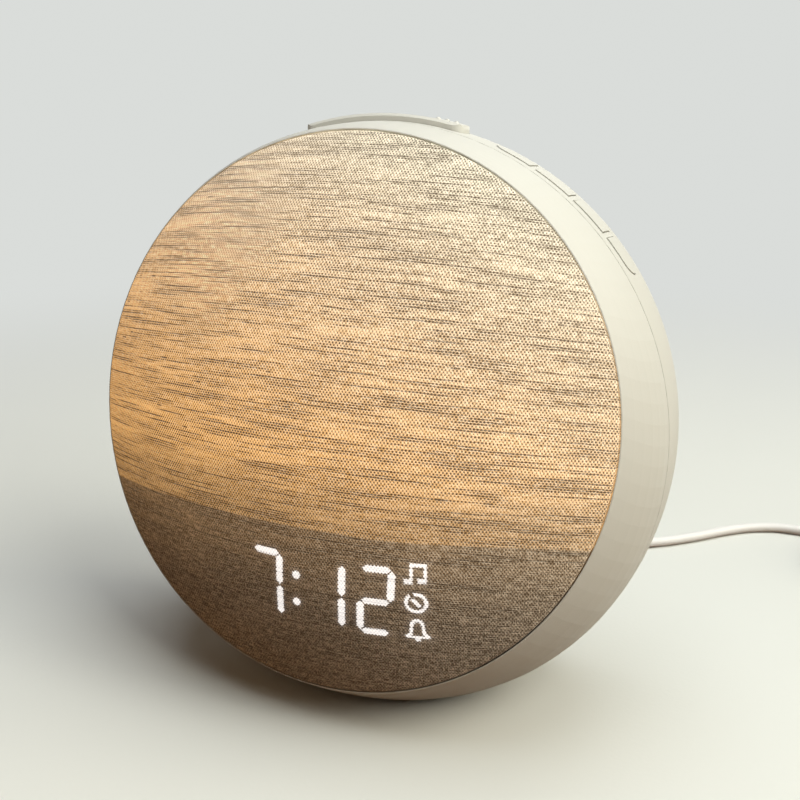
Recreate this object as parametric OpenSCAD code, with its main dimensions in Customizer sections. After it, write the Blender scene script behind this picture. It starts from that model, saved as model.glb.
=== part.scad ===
// Bedside light clock. A round moulded body leans back a little and carries a domed
// linen face; the upper part of the face is a lamp, the lower part hides the figures.
// Millimetres. +Z up, the face looks along -Y, the origin is under the body's middle
// on the surface that it stands on.

/* [Body] */
// Greatest diameter of the moulded body
body_d = 190.6; // [180:0.2:200]
// Height of the body's centre above the surface
body_rise = 88; // [87:0.1:90]
// How far the moulded body leans back
shell_lean = 5; // [3:0.5:7]
// Wall of the two moulded shells
wall = 2.4; // [2:0.1:3]
// Flat back behind the body's centre
back_depth = 28; // [26:0.5:32]
// Radius that rounds the side into the back
back_round = 20; // [17:0.5:24]
// Parting plane in front of the body's centre
parting_ahead = 9.6; // [9:0.1:11]
// Visible seam between the shells
seam_gap = 0.3; // [0.2:0.05:0.5]
// Length of the lip that locates the shells
lip_len = 3; // [2:0.5:4]

/* [Face] */
// How far the face's opening sits in from the body's edge
face_inset = 10.3; // [9.5:0.1:12]
// How far the face leans back
face_lean = 12; // [10:0.5:13]
// Face centre in front of the body's centre
face_ahead = 34.2; // [33:0.1:37]
// Face centre above the body's centre
face_above = 10.5; // [9:0.1:11]
// Height of the dome over its edge
dome_h = 24; // [20:0.5:28]
// Width of the moulded rim round the face
rim_w = 0.5; // [0.4:0.1:1]
// How far the linen's edge stands in front of the rim
rim_back = 0.5; // [0.2:0.1:0.8]
// Depth of the recess that the dome sits in
recess_depth = 4.5; // [4:0.5:6]
// Width of the ledge behind the dome
ledge_w = 14; // [12:0.5:15]
// Thickness of the ledge
ledge_t = 2; // [1.6:0.1:2.4]
// Thickness of the linen
linen_t = 0.8; // [0.6:0.1:1]
// Wall of the moulded dome
dome_wall = 2; // [1.6:0.1:2.4]
// Open groove round the linen
groove = 0.4; // [0.3:0.1:0.8]

/* [Lamp] */
// Height of the divider below the face centre
divider_drop = 29.4; // [28:0.2:31]
// Thickness of the divider
divider_t = 1.6; // [1.2:0.1:2]
// Depth of the reflector behind the ledge
reflector_depth = 19; // [16:0.5:20]
// Width of the reflector's flange on the ledge
flange_w = 4.5; // [4:0.1:4.8]
// Wall of the reflector
reflector_t = 1.8; // [1.4:0.1:2.2]
// Edge of one lamp chip
chip_w = 3; // [2.5:0.5:4]
// Pitch of the rings of chips
chip_pitch = 15; // [13:0.5:16]

/* [Figures] */
// Height of the figures between stroke centres
figure_h = 21.4; // [18:0.2:22]
// Width of the figures between stroke centres
figure_w = 8.9; // [8:0.1:9.4]
// Width of a stroke
stroke_w = 2.4; // [2:0.1:2.6]
// Pitch of two figures
figure_pitch = 14.6; // [14:0.1:15]
// Extra pitch across the colon
colon_space = 5.5; // [4.8:0.1:6]
// Slant of the figures
figure_slant = 4; // [0:1:8]
// Height of the figures' middle below the divider
figure_below = 20.3; // [19.5:0.1:21]
// Sideways place of the colon
figure_shift = -1.2; // [-2:0.1:2]
// Diameter of the colon dots
dot_d = 2.6; // [2:0.1:3]
// Space from the last figure to the middle of the signs
sign_space = 4.6; // [4:0.1:5.5]
// Pitch of the three signs
sign_pitch = 9.4; // [9:0.1:9.8]
// Height of the middle sign over the figures' middle
sign_lift = 0.6; // [0:0.1:2]
// Width of a sign's line
sign_line = 1; // [0.8:0.1:1.2]
// How far the light guides reach behind the dome at the outer posts
guide_behind = 3.9; // [3.5:0.1:4.5]
// Gap round a light guide in the mask
guide_gap = 0.15; // [0.1:0.05:0.2]

/* [Keys] */
// Pitch of the four side keys
key_pitch = 14.6; // [14.2:0.1:15]
// Bridge of shell between two key openings
key_bridge = 1.6; // [1.4:0.1:1.8]
// Width of the keys across the body's edge
key_w = 9.6; // [9:0.1:10.5]
// Angle of the row's middle from the top
key_angle = 38.8; // [38:0.1:41]
// Controls' middle line in front of the body's centre
control_ahead = 1; // [0.6:0.1:1.4]
// Gap between a control and its opening
control_gap = 0.35; // [0.25:0.05:0.4]
// Travel of a key
key_travel = 0.7; // [0.5:0.1:0.8]
// How far the keys stand proud
key_proud = 0.25; // [0.1:0.05:0.4]
// Length of the tap bar
bar_len = 53.4; // [48:0.2:55]
// Width of the tap bar
bar_w = 10; // [9:0.5:11]
// Angle of the tap bar's middle from the top
bar_angle = -1; // [-2:0.2:1]
// Height of the tap bar over the shell
bar_proud = 2.1; // [1.6:0.1:2.4]
// Travel of the tap bar
bar_travel = 0.8; // [0.6:0.1:0.9]

/* [Electronics] */
// Thickness of every circuit board
board_t = 1.6; // [1.2:0.1:1.8]
// How far the control boards lie in from the body's edge
control_board_in = 15; // [14:0.5:16]
// Width of the main board
main_w = 90; // [80:1:92]
// Height of the main board
main_h = 46; // [42:1:48]
// Diameter of the loudspeaker's cone
cone_d = 42; // [38:1:43]
// Edge of the loudspeaker's square frame
speaker_w = 50; // [48:1:52]
// Height of the wall that the loudspeaker seats on
speaker_seat = 4; // [3:0.5:5]
// Depth of the loudspeaker behind its flange
speaker_depth = 19; // [17:0.5:20]
// Width of a sound slot
slot_w = 2; // [1.6:0.1:2.2]

/* [Fasteners and feet] */
// Outer diameter of a shell screw's post
post_d = 7; // [6.5:0.5:8]
// Diameter of a shell screw
screw_d = 3; // [2.5:0.5:3]
// How far the shell screws sit in from the body's edge
screw_inset = 8; // [7.5:0.5:8.5]
// Diameter of a small screw
small_screw_d = 2; // [1.8:0.1:2.2]
// How far the feet stand out of the base
foot_proud = 0.8; // [0.6:0.1:1.2]
// Depth of the pocket that holds a foot
foot_pocket = 0.9; // [0.6:0.1:1.2]
// Length of a foot
foot_len = 32; // [28:1:34]
// Width of a foot
foot_w = 7; // [6:0.5:7]

/* [Lead] */
// Diameter of the lead
lead_d = 4.2; // [3.6:0.1:4.4]
// Diameter of the plug's moulded grip
plug_d = 9.6; // [9:0.1:10]
// Length of the plug's moulded grip
plug_len = 20; // [18:1:24]
// Length of the strain relief
relief_len = 18; // [16:1:22]
// Diameter of the plug's barrel
barrel_d = 5.5; // [4:0.1:5.5]
// Length of the barrel
barrel_len = 9.5; // [8:0.5:10]

/* [Hidden] */

body_r = body_d / 2;
figure_drop = divider_drop + figure_below;
control_board_r = body_r - control_board_in;
screw_circle = body_r - screw_inset;
face_r = body_r - face_inset;
fit = 0.1;
cut = 1;
part_r = sqrt(pow(body_r, 2) - pow(parting_ahead, 2));
back_lift = back_depth - back_round;
back_tilt = asin(back_lift / (body_r - back_round));
back_ring = (body_r - back_round) * cos(back_tilt);
linen_r = face_r - groove;
cap_r = (pow(linen_r, 2) + pow(dome_h, 2)) / (2 * dome_h);
cap_back = cap_r - dome_h;
ledge_back = recess_depth + ledge_t;
ledge_r = face_r - ledge_w;

// The body is centred front to back between the dome's crown and the rounded back.
reach_front = face_ahead - cap_back * cos(face_lean) + cap_r;
reach_back = back_lift * cos(shell_lean) + back_ring * sin(shell_lean) + back_round;
body_y = (reach_front - reach_back) / 2;

arc_steps = 12;
loft_sides = 96;
loft_steps = 6;

function arc(cx, cy, r, from, to, steps = arc_steps) =
    [for (i = [0:steps]) let (a = from + (to - from) * i / steps)
        [cx + r * cos(a), cy + r * sin(a)]];
function reversed(v) = [for (i = [len(v) - 1:-1:0]) v[i]];

// Outline of the body from the plane y to the middle of the back, moved in by inset.
function body_line(inset, y) = concat(
    arc(0, 0, body_r - inset, asin(y / (body_r - inset)), back_tilt),
    arc(back_ring, back_lift, back_round - inset, back_tilt, 90),
    [[0, back_depth - inset]]);

// Outline of the dome from its middle to its edge, moved in by inset.
function dome_line(inset, edge) =
    arc(0, cap_back, cap_r - inset, -90, -acos(edge / (cap_r - inset)));

module on_globe() translate([0, body_y, body_rise]) rotate([-shell_lean, 0, 0]) children();
module on_face() translate([0, body_y - face_ahead, body_rise + face_above])
    rotate([-face_lean, 0, 0]) children();
module on_figures() on_face() translate([0, cap_back, 0])
    rotate([asin(figure_drop / cap_r), 0, 0]) translate([0, -cap_r, 0]) children();
module on_controls(angle) on_globe() rotate([0, angle, 0]) children();
// A solid of revolution about the axis that runs front to back.
module turned() rotate([-90, 0, 0]) rotate_extrude($fn = 96) children();
// A rod along +Y.
module rod(d, len) rotate([-90, 0, 0]) cylinder(d = d, h = len, $fn = 32);
module rounded(w, h, r) {
    square([w - 2 * r, h], center = true);
    square([w, h - 2 * r], center = true);
    for (x = [-1, 1], y = [-1, 1])
        translate([x * (w / 2 - r), y * (h / 2 - r)]) circle(r, $fn = 24);
}

// ---------------------------------------------------------------- front shell loft
// The band between the leaning face and the upright parting plane: every meridian is a
// quadratic curve that leaves the parting circle along the body's own slope.
rim_round = 0.7 * rim_w;
part_slope = asin(parting_ahead / body_r);
pull = 0.45 * (face_ahead - parting_ahead);

function lean(p, a) =
    [p.x, p.y * cos(a) + p.z * sin(a), -p.y * sin(a) + p.z * cos(a)];
function face_to_globe(p) =
    lean(lean(p, face_lean) + [0, -face_ahead, face_above], -shell_lean);
function ring_point(r, y, a) = [r * sin(a), y, r * cos(a)];
function band_start(a) = face_to_globe(ring_point(face_r + rim_w, rim_back + rim_round, a));
function band_end(a) = ring_point(part_r, -parting_ahead - seam_gap / 2, a);
function band_pull(a) = ring_point(part_r - pull * sin(part_slope),
    -parting_ahead - seam_gap / 2 - pull * cos(part_slope), a);
function bend(p, q, r, u) = pow(1 - u, 2) * p + 2 * u * (1 - u) * q + pow(u, 2) * r;
function band(a, u) = bend(band_start(a), band_pull(a), band_end(a), u);
function inward(p, d) = let (r = norm([p.x, p.z])) [p.x * (r - d) / r, p.y, p.z * (r - d) / r];
// Where the meridian crosses the back of the ledge.
function face_depth(p) = lean(lean(p, shell_lean) + [0, face_ahead, -face_above], -face_lean).y;
function crossing(a) = let (
    ya = face_depth(band_start(a)), yc = face_depth(band_pull(a)),
    yb = face_depth(band_end(a)), k = ya - 2 * yc + yb, m = 2 * (yc - ya),
    n = ya - ledge_back)
    abs(k) < 0.001 ? -n / m : (-m + sqrt(pow(m, 2) - 4 * k * n)) / (2 * k);

function sweep_angles() = [for (i = [0:loft_sides - 1]) 360 * i / loft_sides];
module loft(rings) {
    n = loft_sides;
    last = len(rings) - 1;
    function middle(ring) = [for (k = [0:2]) [for (p = ring) p[k]] * [for (p = ring) 1 / n]];
    polyhedron(
        points = concat([for (ring = rings) each ring], [middle(rings[0]), middle(rings[last])]),
        faces = concat(
            [for (i = [0:last - 1], j = [0:n - 1]) let (k = (j + 1) % n)
                each [[i * n + j, (i + 1) * n + j, i * n + k],
                    [i * n + k, (i + 1) * n + j, (i + 1) * n + k]]],
            [for (j = [0:n - 1]) [j, (j + 1) % n, (last + 1) * n]],
            [for (j = [0:n - 1]) [last * n + (j + 1) % n, last * n + j, (last + 1) * n + 1]]));
}
module band_outside() loft(concat(
    [for (share = [[1, 0], [0.3, 0.3]]) [for (a = sweep_angles()) face_to_globe(ring_point(
        face_r + rim_w - share[0] * rim_round, rim_back + share[1] * rim_round, a))]],
    [for (i = [0:loft_steps]) [for (a = sweep_angles()) band(a, i / loft_steps)]]));
// A point moved along Y into the plane behind the ledge.
function on_ledge(p) = p + [0, (ledge_back - face_depth(p)) / cos(face_lean - shell_lean), 0];
module band_inside() loft(concat(
    [[for (a = sweep_angles()) on_ledge(inward(band(a, crossing(a)), wall))]],
    [for (i = [1:loft_steps - 2])
        [for (a = sweep_angles()) let (u = crossing(a))
            inward(band(a, u + (1 - u) * i / (loft_steps - 2)), wall)]],
    [[for (a = sweep_angles()) inward(band_end(a), wall) + [0, cut, 0]]]));

// ---------------------------------------------------------------- shared base
module base_slab(from, to)
    translate([-body_r, -body_r, from]) cube([body_d, body_d, to - from]);
foot_places = [-9.8, 16];
module foot_shape() rounded(foot_len, foot_w, foot_w / 2 - 0.2);
module foot_pocket_at(y) translate([0, y, -cut]) linear_extrude(foot_proud + foot_pocket + cut)
    rounded(foot_len + 2 * fit, foot_w + 2 * fit, foot_w / 2 - 0.2 + fit);

screw_angles = [80, 150, 210, 280, 325];
screw_seat = 8;
well_floor = 3;
post_end = screw_seat - well_floor;
pilot_len = 12;
module at_shell_screws() for (a = screw_angles) rotate([0, a, 0])
    translate([0, 0, screw_circle]) children();

// ---------------------------------------------------------------- front shell
lip_t = wall / 2 - 0.15;
module front_shell() color("linen") difference() {
    on_globe() difference() {
        union() {
            difference() {
                band_outside();
                difference() {
                    band_inside();
                    at_shell_screws() translate([0, -body_r / 2, 0]) rod(post_d, body_r / 2);
                    rotate([shell_lean, 0, 0]) translate([0, -body_y, -body_rise])
                        base_slab(-body_r, foot_proud + wall);
                }
            }
            at_shell_screws() translate([0, -parting_ahead - 2, 0])
                rod(post_d, parting_ahead + 2 + post_end);
        }
        at_shell_screws() translate([0, -parting_ahead - pilot_len, 0])
            rod(screw_d - 0.4, pilot_len + parting_ahead + post_end + cut);
        translate([0, -parting_ahead - lip_len - 0.3, 0]) turned()
            translate([part_r - wall - 1.2, 0]) square([lip_t + 1.35, lip_len + cut]);
    }
    on_face() translate([0, -cut, 0]) {
        // Half a side's turn keeps the bores' seam off the loft's edges.
        rotate([0, 180 / loft_sides, 0]) {
            rod_bore(2 * face_r, recess_depth + cut);
            rod_bore(2 * ledge_r, ledge_back + 2 * cut);
        }
        at_flange_screws() rod(small_screw_d - 0.4, ledge_back + 2 * cut);
    }
    base_slab(-body_r, foot_proud);
    foot_pocket_at(foot_places[0]);
}
module rod_bore(d, len) rotate([-90, 0, 0]) cylinder(d = d, h = len, $fn = 96);

// ---------------------------------------------------------------- face
module linen_face() color("tan") on_face() turned() polygon(concat(
    dome_line(0, linen_r),
    [[linen_r, recess_depth - fit], [linen_r - linen_t, recess_depth - fit]],
    reversed(dome_line(linen_t, linen_r - linen_t))));

dome_out = linen_t + 0.05;
dome_edge = linen_r - dome_out;
module dome_shell() turned() polygon(concat(
    dome_line(dome_out, dome_edge),
    [[dome_edge, recess_depth], [dome_edge - dome_wall, recess_depth]],
    reversed(dome_line(dome_out + dome_wall, dome_edge - dome_wall))));
divider_top = -divider_drop + divider_t / 2;
divider_low = -divider_drop - divider_t / 2;
module above(z) translate([-body_r, -body_r, z]) cube([body_d, body_d, body_d]);
module below(z) translate([-body_r, -body_r, z - body_d]) cube([body_d, body_d, body_d]);

module diffuser_dome() color("white", 0.8) on_face() intersection() {
    dome_shell();
    above(-divider_drop + fit / 2);
}

// ---------------------------------------------------------------- figures
half_gap = (figure_pitch + colon_space) / 2;
figure_x = [for (x = [-half_gap - figure_pitch, -half_gap, half_gap, half_gap + figure_pitch])
    x + figure_shift];
colon_z = figure_h * 0.22;
sign_x = figure_x[3] + figure_pitch / 2 + sign_space;
sign_z = [sign_lift + sign_pitch, sign_lift, sign_lift - sign_pitch];
led_h = 0.9;
// One stroke with pointed ends, along X.
module stroke(len, w) polygon([[-len / 2, 0], [-len / 2 + w / 2, w / 2],
    [len / 2 - w / 2, w / 2], [len / 2, 0], [len / 2 - w / 2, -w / 2], [-len / 2 + w / 2, -w / 2]]);
stroke_rest = 0.5;
module figure(w) {
    half = figure_h / 2;
    for (z = [-half, 0, half]) translate([z * tan(figure_slant), z])
        stroke(figure_w - stroke_rest, w);
    for (x = [-1, 1], z = [-half / 2, half / 2])
        translate([x * figure_w / 2 + z * tan(figure_slant), z])
            rotate(90 - figure_slant) stroke(half - stroke_rest, w);
}
// A line of the signs, from corner to corner.
module sign_bar(x, z, w, h, g) translate([x, z]) square([w + 2 * g, h + 2 * g], center = true);
module sound_sign(g) {
    sign_bar(0.35, 2.4, 5, sign_line, g);
    for (x = [-1.65, 2.35]) {
        sign_bar(x, 0.1, 0.9, 5, g);
        sign_bar(x - 0.5, -2.3, 1.9, 1.2, g);
    }
}
module timer_sign(g) {
    difference() {
        circle(3.05 + g, $fn = 32);
        circle(3.05 - sign_line - g, $fn = 32);
        rotate(125) sign_bar(3, 0, 4, 1.4, -g);
    }
    rotate(-40) sign_bar(0, 0, 2.4, 1.2, g);
}
module alarm_sign(g) {
    difference() {
        union() {
            translate([0, 1]) circle(2.3 + g, $fn = 32);
            sign_bar(0, -0.7, 4.6, 3.4, g);
            sign_bar(0, -2.5, 6.4, sign_line, g);
        }
        translate([0, 1]) circle(2.3 - sign_line - g, $fn = 32);
        sign_bar(0, -0.7, 4.6 - 2 * sign_line, 3.4, -g);
        sign_bar(0, -2.5, 1.6, 3, -g);
    }
    sign_bar(0, -4, 1.6, 0.8, g);
}
module figures_flat(grow) {
    for (x = figure_x) translate([x, 0]) figure(stroke_w + 2 * grow);
    for (z = [-colon_z, colon_z]) translate([figure_shift + z * tan(figure_slant), z])
        circle(d = dot_d + 2 * grow, $fn = 24);
    translate([sign_x, sign_z[0]]) sound_sign(grow);
    translate([sign_x, sign_z[1]]) timer_sign(grow);
    translate([sign_x, sign_z[2]]) alarm_sign(grow);
}
module figures_bars(grow, from, to) rotate([90, 0, 0]) translate([0, 0, -to])
    linear_extrude(to - from) figures_flat(grow);
figure_board_w = 85;
figure_board_h = 25;
figure_board_x = (figure_x[0] + sign_x) / 2 + 0.6;
figure_post_x = [figure_board_x - figure_board_w / 2 + 3, figure_board_x + figure_board_w / 2 - 3];
figure_post_z = [-figure_board_h / 2 + 5, figure_board_h / 2 - 3];
// The dome falls away towards the outer posts, and the guides reach that much further back.
guide_depth = guide_behind + cap_r
    - sqrt(pow(cap_r, 2) - pow(figure_post_x[1], 2) - pow(figure_post_z[0], 2));
figure_board_y = guide_depth + led_h + 0.2;
module at_figure_posts() for (x = figure_post_x, z = figure_post_z)
    translate([x, 0, z]) children();

module figure_mask() color("dimgray") difference() {
    union() {
        on_face() intersection() {
            dome_shell();
            below(-divider_drop - fit / 2);
        }
        intersection() {
            on_figures() at_figure_posts() rod(4.6, figure_board_y);
            on_face() intersection() {
                turned() polygon(concat(dome_line(dome_out + dome_wall / 2, dome_edge),
                    [[dome_edge, recess_depth + 20], [0, recess_depth + 20]]));
                below(divider_low - fit);
            }
        }
    }
    on_figures() figures_bars(guide_gap, -cut, figure_board_y);
    on_figures() at_figure_posts() translate([0, figure_board_y / 2, 0])
        rod(small_screw_d - 0.4, figure_board_y);
}
module light_guides() color("white") intersection() {
    on_figures() figures_bars(0, -cut, guide_depth);
    on_face() turned() polygon(concat(dome_line(dome_out, dome_edge),
        [[dome_edge, recess_depth + 20], [0, recess_depth + 20]]));
}
module figure_board() color("darkgreen") on_figures() difference() {
    translate([figure_board_x, figure_board_y + board_t, 0]) rotate([90, 0, 0])
        linear_extrude(board_t) rounded(figure_board_w, figure_board_h, 2);
    at_figure_posts() rod(small_screw_d + 0.4, figure_board_y + 10);
}
module figure_leds() color("ivory") on_figures()
    translate([0, figure_board_y - led_h, 0]) {
        for (x = figure_x, z = [-figure_h / 2, 0, figure_h / 2])
            translate([x + z * tan(figure_slant), led_h / 2, z]) cube([2.4, led_h, 1.4], center = true);
        for (x = figure_x, s = [-1, 1], z = [-figure_h / 4, figure_h / 4])
            translate([x + s * figure_w / 2 + z * tan(figure_slant), led_h / 2, z])
                cube([1.4, led_h, 2.4], center = true);
        for (z = [-colon_z, colon_z])
            translate([figure_shift + z * tan(figure_slant), led_h / 2, z])
                cube([1.4, led_h, 1.4], center = true);
        for (z = sign_z) translate([sign_x, led_h / 2, z]) cube([2.4, led_h, 2.4], center = true);
    }
small_head_d = 3.8;
small_head_h = 1.4;
module small_screw(len) {
    difference() {
        translate([0, -small_head_h, 0]) rod(small_head_d, small_head_h);
        translate([0, -small_head_h - cut, 0]) rotate([-90, 0, 0]) cylinder(d = 1.8, h = cut + 0.7, $fn = 6);
    }
    rod(small_screw_d, len);
}
figure_screw_len = 5;
module figure_screws() color("silver") on_figures() at_figure_posts()
    translate([0, figure_board_y + board_t, 0]) rotate([180, 0, 0]) small_screw(figure_screw_len);

// ---------------------------------------------------------------- lamp
flange_r = ledge_r + flange_w;
bowl_r = ledge_r - 3;
floor_y = ledge_back + reflector_depth;
floor_r = bowl_r - 11;
flange_screw_r = ledge_r + flange_w / 2;
wire_holes = [-20, 20];
module at_flange_screws() for (a = [30:60:330]) rotate([0, a, 0])
    translate([0, 0, flange_screw_r]) children();
module reflector() color("white") on_face() difference() {
    turned() polygon([[0, floor_y], [floor_r, floor_y], [bowl_r, ledge_back + reflector_t],
        [bowl_r, ledge_back], [flange_r, ledge_back], [flange_r, ledge_back + reflector_t],
        [bowl_r + reflector_t + 1, ledge_back + reflector_t],
        [bowl_r + reflector_t, ledge_back + reflector_t + 1],
        [floor_r + reflector_t, floor_y + reflector_t], [0, floor_y + reflector_t]]);
    at_flange_screws() translate([0, ledge_back - cut, 0])
        rod(small_screw_d + 0.4, reflector_t + 2 * cut);
    for (x = wire_holes) translate([x, floor_y - cut, divider_low - 8]) rod(6, reflector_t + 2 * cut);
}
flange_screw_len = 3.4;
module reflector_screws() color("silver") on_face() at_flange_screws()
    translate([0, ledge_back + reflector_t, 0]) rotate([180, 0, 0]) small_screw(flange_screw_len);
module divider() color("whitesmoke") on_face() intersection() {
    turned() polygon(concat(
        dome_line(dome_out + dome_wall + fit, dome_edge - dome_wall - 1),
        [[dome_edge - dome_wall - 1, recess_depth - fit], [ledge_r - fit, recess_depth - fit],
        [ledge_r - fit, ledge_back - fit], [bowl_r - fit, ledge_back],
        [bowl_r - fit, ledge_back + reflector_t], [floor_r - fit, floor_y - fit], [0, floor_y - fit]]));
    translate([-body_r, -body_r, divider_low]) cube([body_d, body_d, divider_t]);
}
lamp_board_r = floor_r - 2;
module lamp_board() color("gainsboro") on_face() intersection() {
    translate([0, floor_y - board_t, 0]) rod_bore(2 * lamp_board_r, board_t);
    above(divider_top + 1);
}
module lamp_chips() color("khaki") on_face() for (ring = [0:3], k = [0:max(0, 6 * ring - 1)])
    let (r = ring * chip_pitch * 0.95, a = ring == 0 ? 0 : 60 * k / ring)
        if (r < lamp_board_r - chip_w && r * cos(a) > divider_top + 1 + chip_w)
            translate([r * sin(a), floor_y - board_t - 0.6, r * cos(a)])
                cube([chip_w, 1.2, chip_w], center = true);

// ---------------------------------------------------------------- rear shell
shell_in = body_r - wall;
flange_reach = 1.2;
flange_t = 1.2;
flange_gap = 0.3;
boss_ahead = -9.3;
lip_root = 1.2;
module globe_solid(inset) turned() polygon(concat(
    [[0, -parting_ahead + seam_gap / 2]], body_line(inset, -parting_ahead + seam_gap / 2)));
key_len = key_pitch - key_bridge;
// Opening or cap of key k, with the outer ends of the row rounded.
module key_plan(k, grow) {
    w = key_w + 2 * grow;
    l = key_len + 2 * grow;
    side = k == 0 ? -1 : (k == 3 ? 1 : 0);
    translate([(k - 1.5) * key_pitch, 0]) intersection() {
        square([l, w], center = true);
        if (side != 0) union() {
            translate([side * (l / 2 - w / 2), 0]) circle(d = w, $fn = 48);
            translate([side * (l / 2 - w / 2) - side * l, 0]) square([2 * l, w], center = true);
        }
    }
}
// A layer that follows the body's own outline, from one depth under its surface to another.
module layer(from, to) turned() polygon(concat(
    body_line(from, -parting_ahead), reversed(body_line(to, -parting_ahead))));
// Plan shapes lie in X and Y of a control's own frame and are cut along its Z.
plan_height = 30;
module control_plan() translate([0, -control_ahead, board_top]) linear_extrude(plan_height) children();
module bar_plan(grow) rounded(bar_len + 2 * grow, bar_w + 2 * grow, 3.4 + grow);
boss_places = [-14.2, 14.2];
board_top = control_board_r;
module control_bosses() for (x = boss_places)
    translate([x, -boss_ahead, board_top]) cylinder(d = 5, h = body_r - board_top - 1, $fn = 32);
module control_pilots() for (x = boss_places)
    translate([x, -boss_ahead, board_top - cut]) cylinder(d = small_screw_d - 0.4, h = 6, $fn = 24);

speaker_z = -26;
jack_x = 38;
jack_z = -46;
main_z = 33;
main_y = 4;
main_post_x = main_w / 2 - 6;
main_post_z = main_h / 2 - 5;
module at_main_posts() for (x = [-1, 1], z = [-1, 1])
    translate([x * main_post_x, 0, main_z + z * main_post_z]) children();
speaker_hole = speaker_w / 2 - 3.6;
module at_speaker_screws() for (x = [-1, 1], z = [-1, 1])
    translate([x * speaker_hole, 0, speaker_z + z * speaker_hole]) children();
slot_pitch = 2.3 * slot_w;
slot_field = cone_d / 2 - 1.5;
module sound_slots() for (i = [-4:4]) let (z = i * slot_pitch, half = sqrt(pow(slot_field, 2) - pow(z, 2)))
    if (abs(z) < slot_field - slot_w) translate([0, z]) {
        square([2 * half - slot_w, slot_w], center = true);
        for (s = [-1, 1]) translate([s * (half - slot_w / 2), 0]) circle(d = slot_w, $fn = 24);
    }
inner_back = back_depth - wall;
speaker_face = inner_back - speaker_seat;

module rear_shell() color("linen") difference() {
    on_globe() difference() {
        union() {
            turned() polygon(concat(body_line(0, -parting_ahead + seam_gap / 2),
                reversed(body_line(wall, -parting_ahead + seam_gap / 2))));
            translate([0, -parting_ahead - lip_len, 0]) turned()
                translate([part_r - wall - 0.1, 0]) square([lip_t + 0.1, lip_len + lip_root]);
            intersection() {
                globe_solid(wall / 2);
                union() {
                    at_shell_screws() translate([0, post_end, 0]) rod(post_d + 3, back_depth);
                    at_main_posts() translate([0, main_y + board_t, 0]) rod(6, back_depth);
                    translate([0, speaker_face, speaker_z]) difference() {
                        rod_bore(cone_d + 7, speaker_seat + wall / 2);
                        translate([0, -cut, 0]) rod_bore(cone_d + 3, speaker_seat + cut);
                    }
                    at_speaker_screws() translate([0, speaker_face, 0]) rod(5.4, speaker_seat + cut);
                    rotate([shell_lean, 0, 0]) translate([0, -body_y, -body_rise])
                        base_slab(foot_proud - cut, foot_proud + wall);
                }
            }
            intersection() {
                globe_solid(wall / 2);
                union() {
                    rotate([0, bar_angle, 0]) control_bosses();
                    rotate([0, key_angle, 0]) control_bosses();
                }
            }
        }
        // Openings for the bar and the keys
        rotate([0, bar_angle, 0]) control_plan() bar_plan(control_gap);
        rotate([0, key_angle, 0]) for (k = [0:3]) control_plan() key_plan(k, 0);
        for (angle = [bar_angle, key_angle]) rotate([0, angle, 0]) control_pilots();
        // Screw wells, main board pilots, loudspeaker slots and pilots, jack opening
        at_shell_screws() {
            translate([0, screw_seat, 0]) rod(post_d - 0.6, back_depth);
            rod(screw_d + 0.4, back_depth);
        }
        at_main_posts() translate([0, main_y, 0]) rod(small_screw_d - 0.4, 8);
        at_speaker_screws() translate([0, speaker_face - cut, 0])
            rod(small_screw_d - 0.4, speaker_seat + cut + 1);
        translate([0, back_depth + cut, speaker_z]) rotate([90, 0, 0])
            linear_extrude(wall + 2 * cut) sound_slots();
        translate([jack_x, inner_back - cut, jack_z]) rod(plug_d + 1, wall + 2 * cut);
    }
    base_slab(-body_r, foot_proud);
    foot_pocket_at(foot_places[1]);
}

// ---------------------------------------------------------------- controls
bar_top = body_r + bar_proud;
flange_in = wall + flange_gap;
bar_edge = 0.8;
stem_d = 3.6;
switch_w = 6;
switch_h = 3.5;
plunger_h = 1.5;
switch_top = board_top + switch_h + plunger_h;
press_gap = 0.05;
bar_switch_x = [-0.3 * bar_len, 0.3 * bar_len];
dot_places = [10.2, 12, 13.8];
// A round stem under a cap, down to the plunger that it presses.
module stem(x, travel) intersection() {
    translate([x, -control_ahead, switch_top + travel + press_gap])
        cylinder(d = stem_d, h = plan_height, $fn = 32);
    globe_solid(flange_in + flange_t / 2);
}
// The bar's two ends slope down to the shell.
module end_slopes() for (s = [-1, 1]) rotate([0, s * asin(bar_len / 2 / body_r), 0])
    translate([0, 0, body_r + bar_proud / 3]) rotate([0, s * 45, 0])
    translate([-bar_len / 2, -bar_w, 0]) cube([bar_len, 2 * bar_w, bar_len / 2]);
module tap_bar() color("linen") on_controls(bar_angle) {
    intersection() {
        turned() polygon([[shell_in - flange_in, -bar_w],
            [bar_top - bar_edge, -bar_w / 2 - control_ahead],
            [bar_top, -bar_w / 2 - control_ahead + bar_edge],
            [bar_top, bar_w / 2 - control_ahead - bar_edge],
            [bar_top - bar_edge, bar_w / 2 - control_ahead], [shell_in - flange_in, bar_w]]);
        difference() {
            control_plan() bar_plan(0);
            globe_solid(flange_in + flange_t / 2);
            end_slopes();
        }
    }
    intersection() {
        layer(flange_in, flange_in + flange_t);
        control_plan() bar_plan(flange_reach);
    }
    for (x = bar_switch_x) stem(x, bar_travel);
    for (a = dot_places) rotate([0, a, 0]) translate([0, -control_ahead, bar_top - 0.3])
        sphere(d = 1.7, $fn = 24);
}
module key(k) color("linen") on_controls(key_angle) {
    intersection() {
        layer(-key_proud, flange_in + flange_t / 2);
        control_plan() key_plan(k, -control_gap);
    }
    intersection() {
        layer(flange_in, flange_in + flange_t);
        control_plan() translate([(k - 1.5) * key_pitch, 0])
            square([key_len + 2 * control_gap, key_w + 2 * flange_reach - 1], center = true);
    }
    stem((k - 1.5) * key_pitch, key_travel);
}
module key_sound() key(0);
module key_light() key(1);
module key_timer() key(2);
module key_alarm() key(3);

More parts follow.
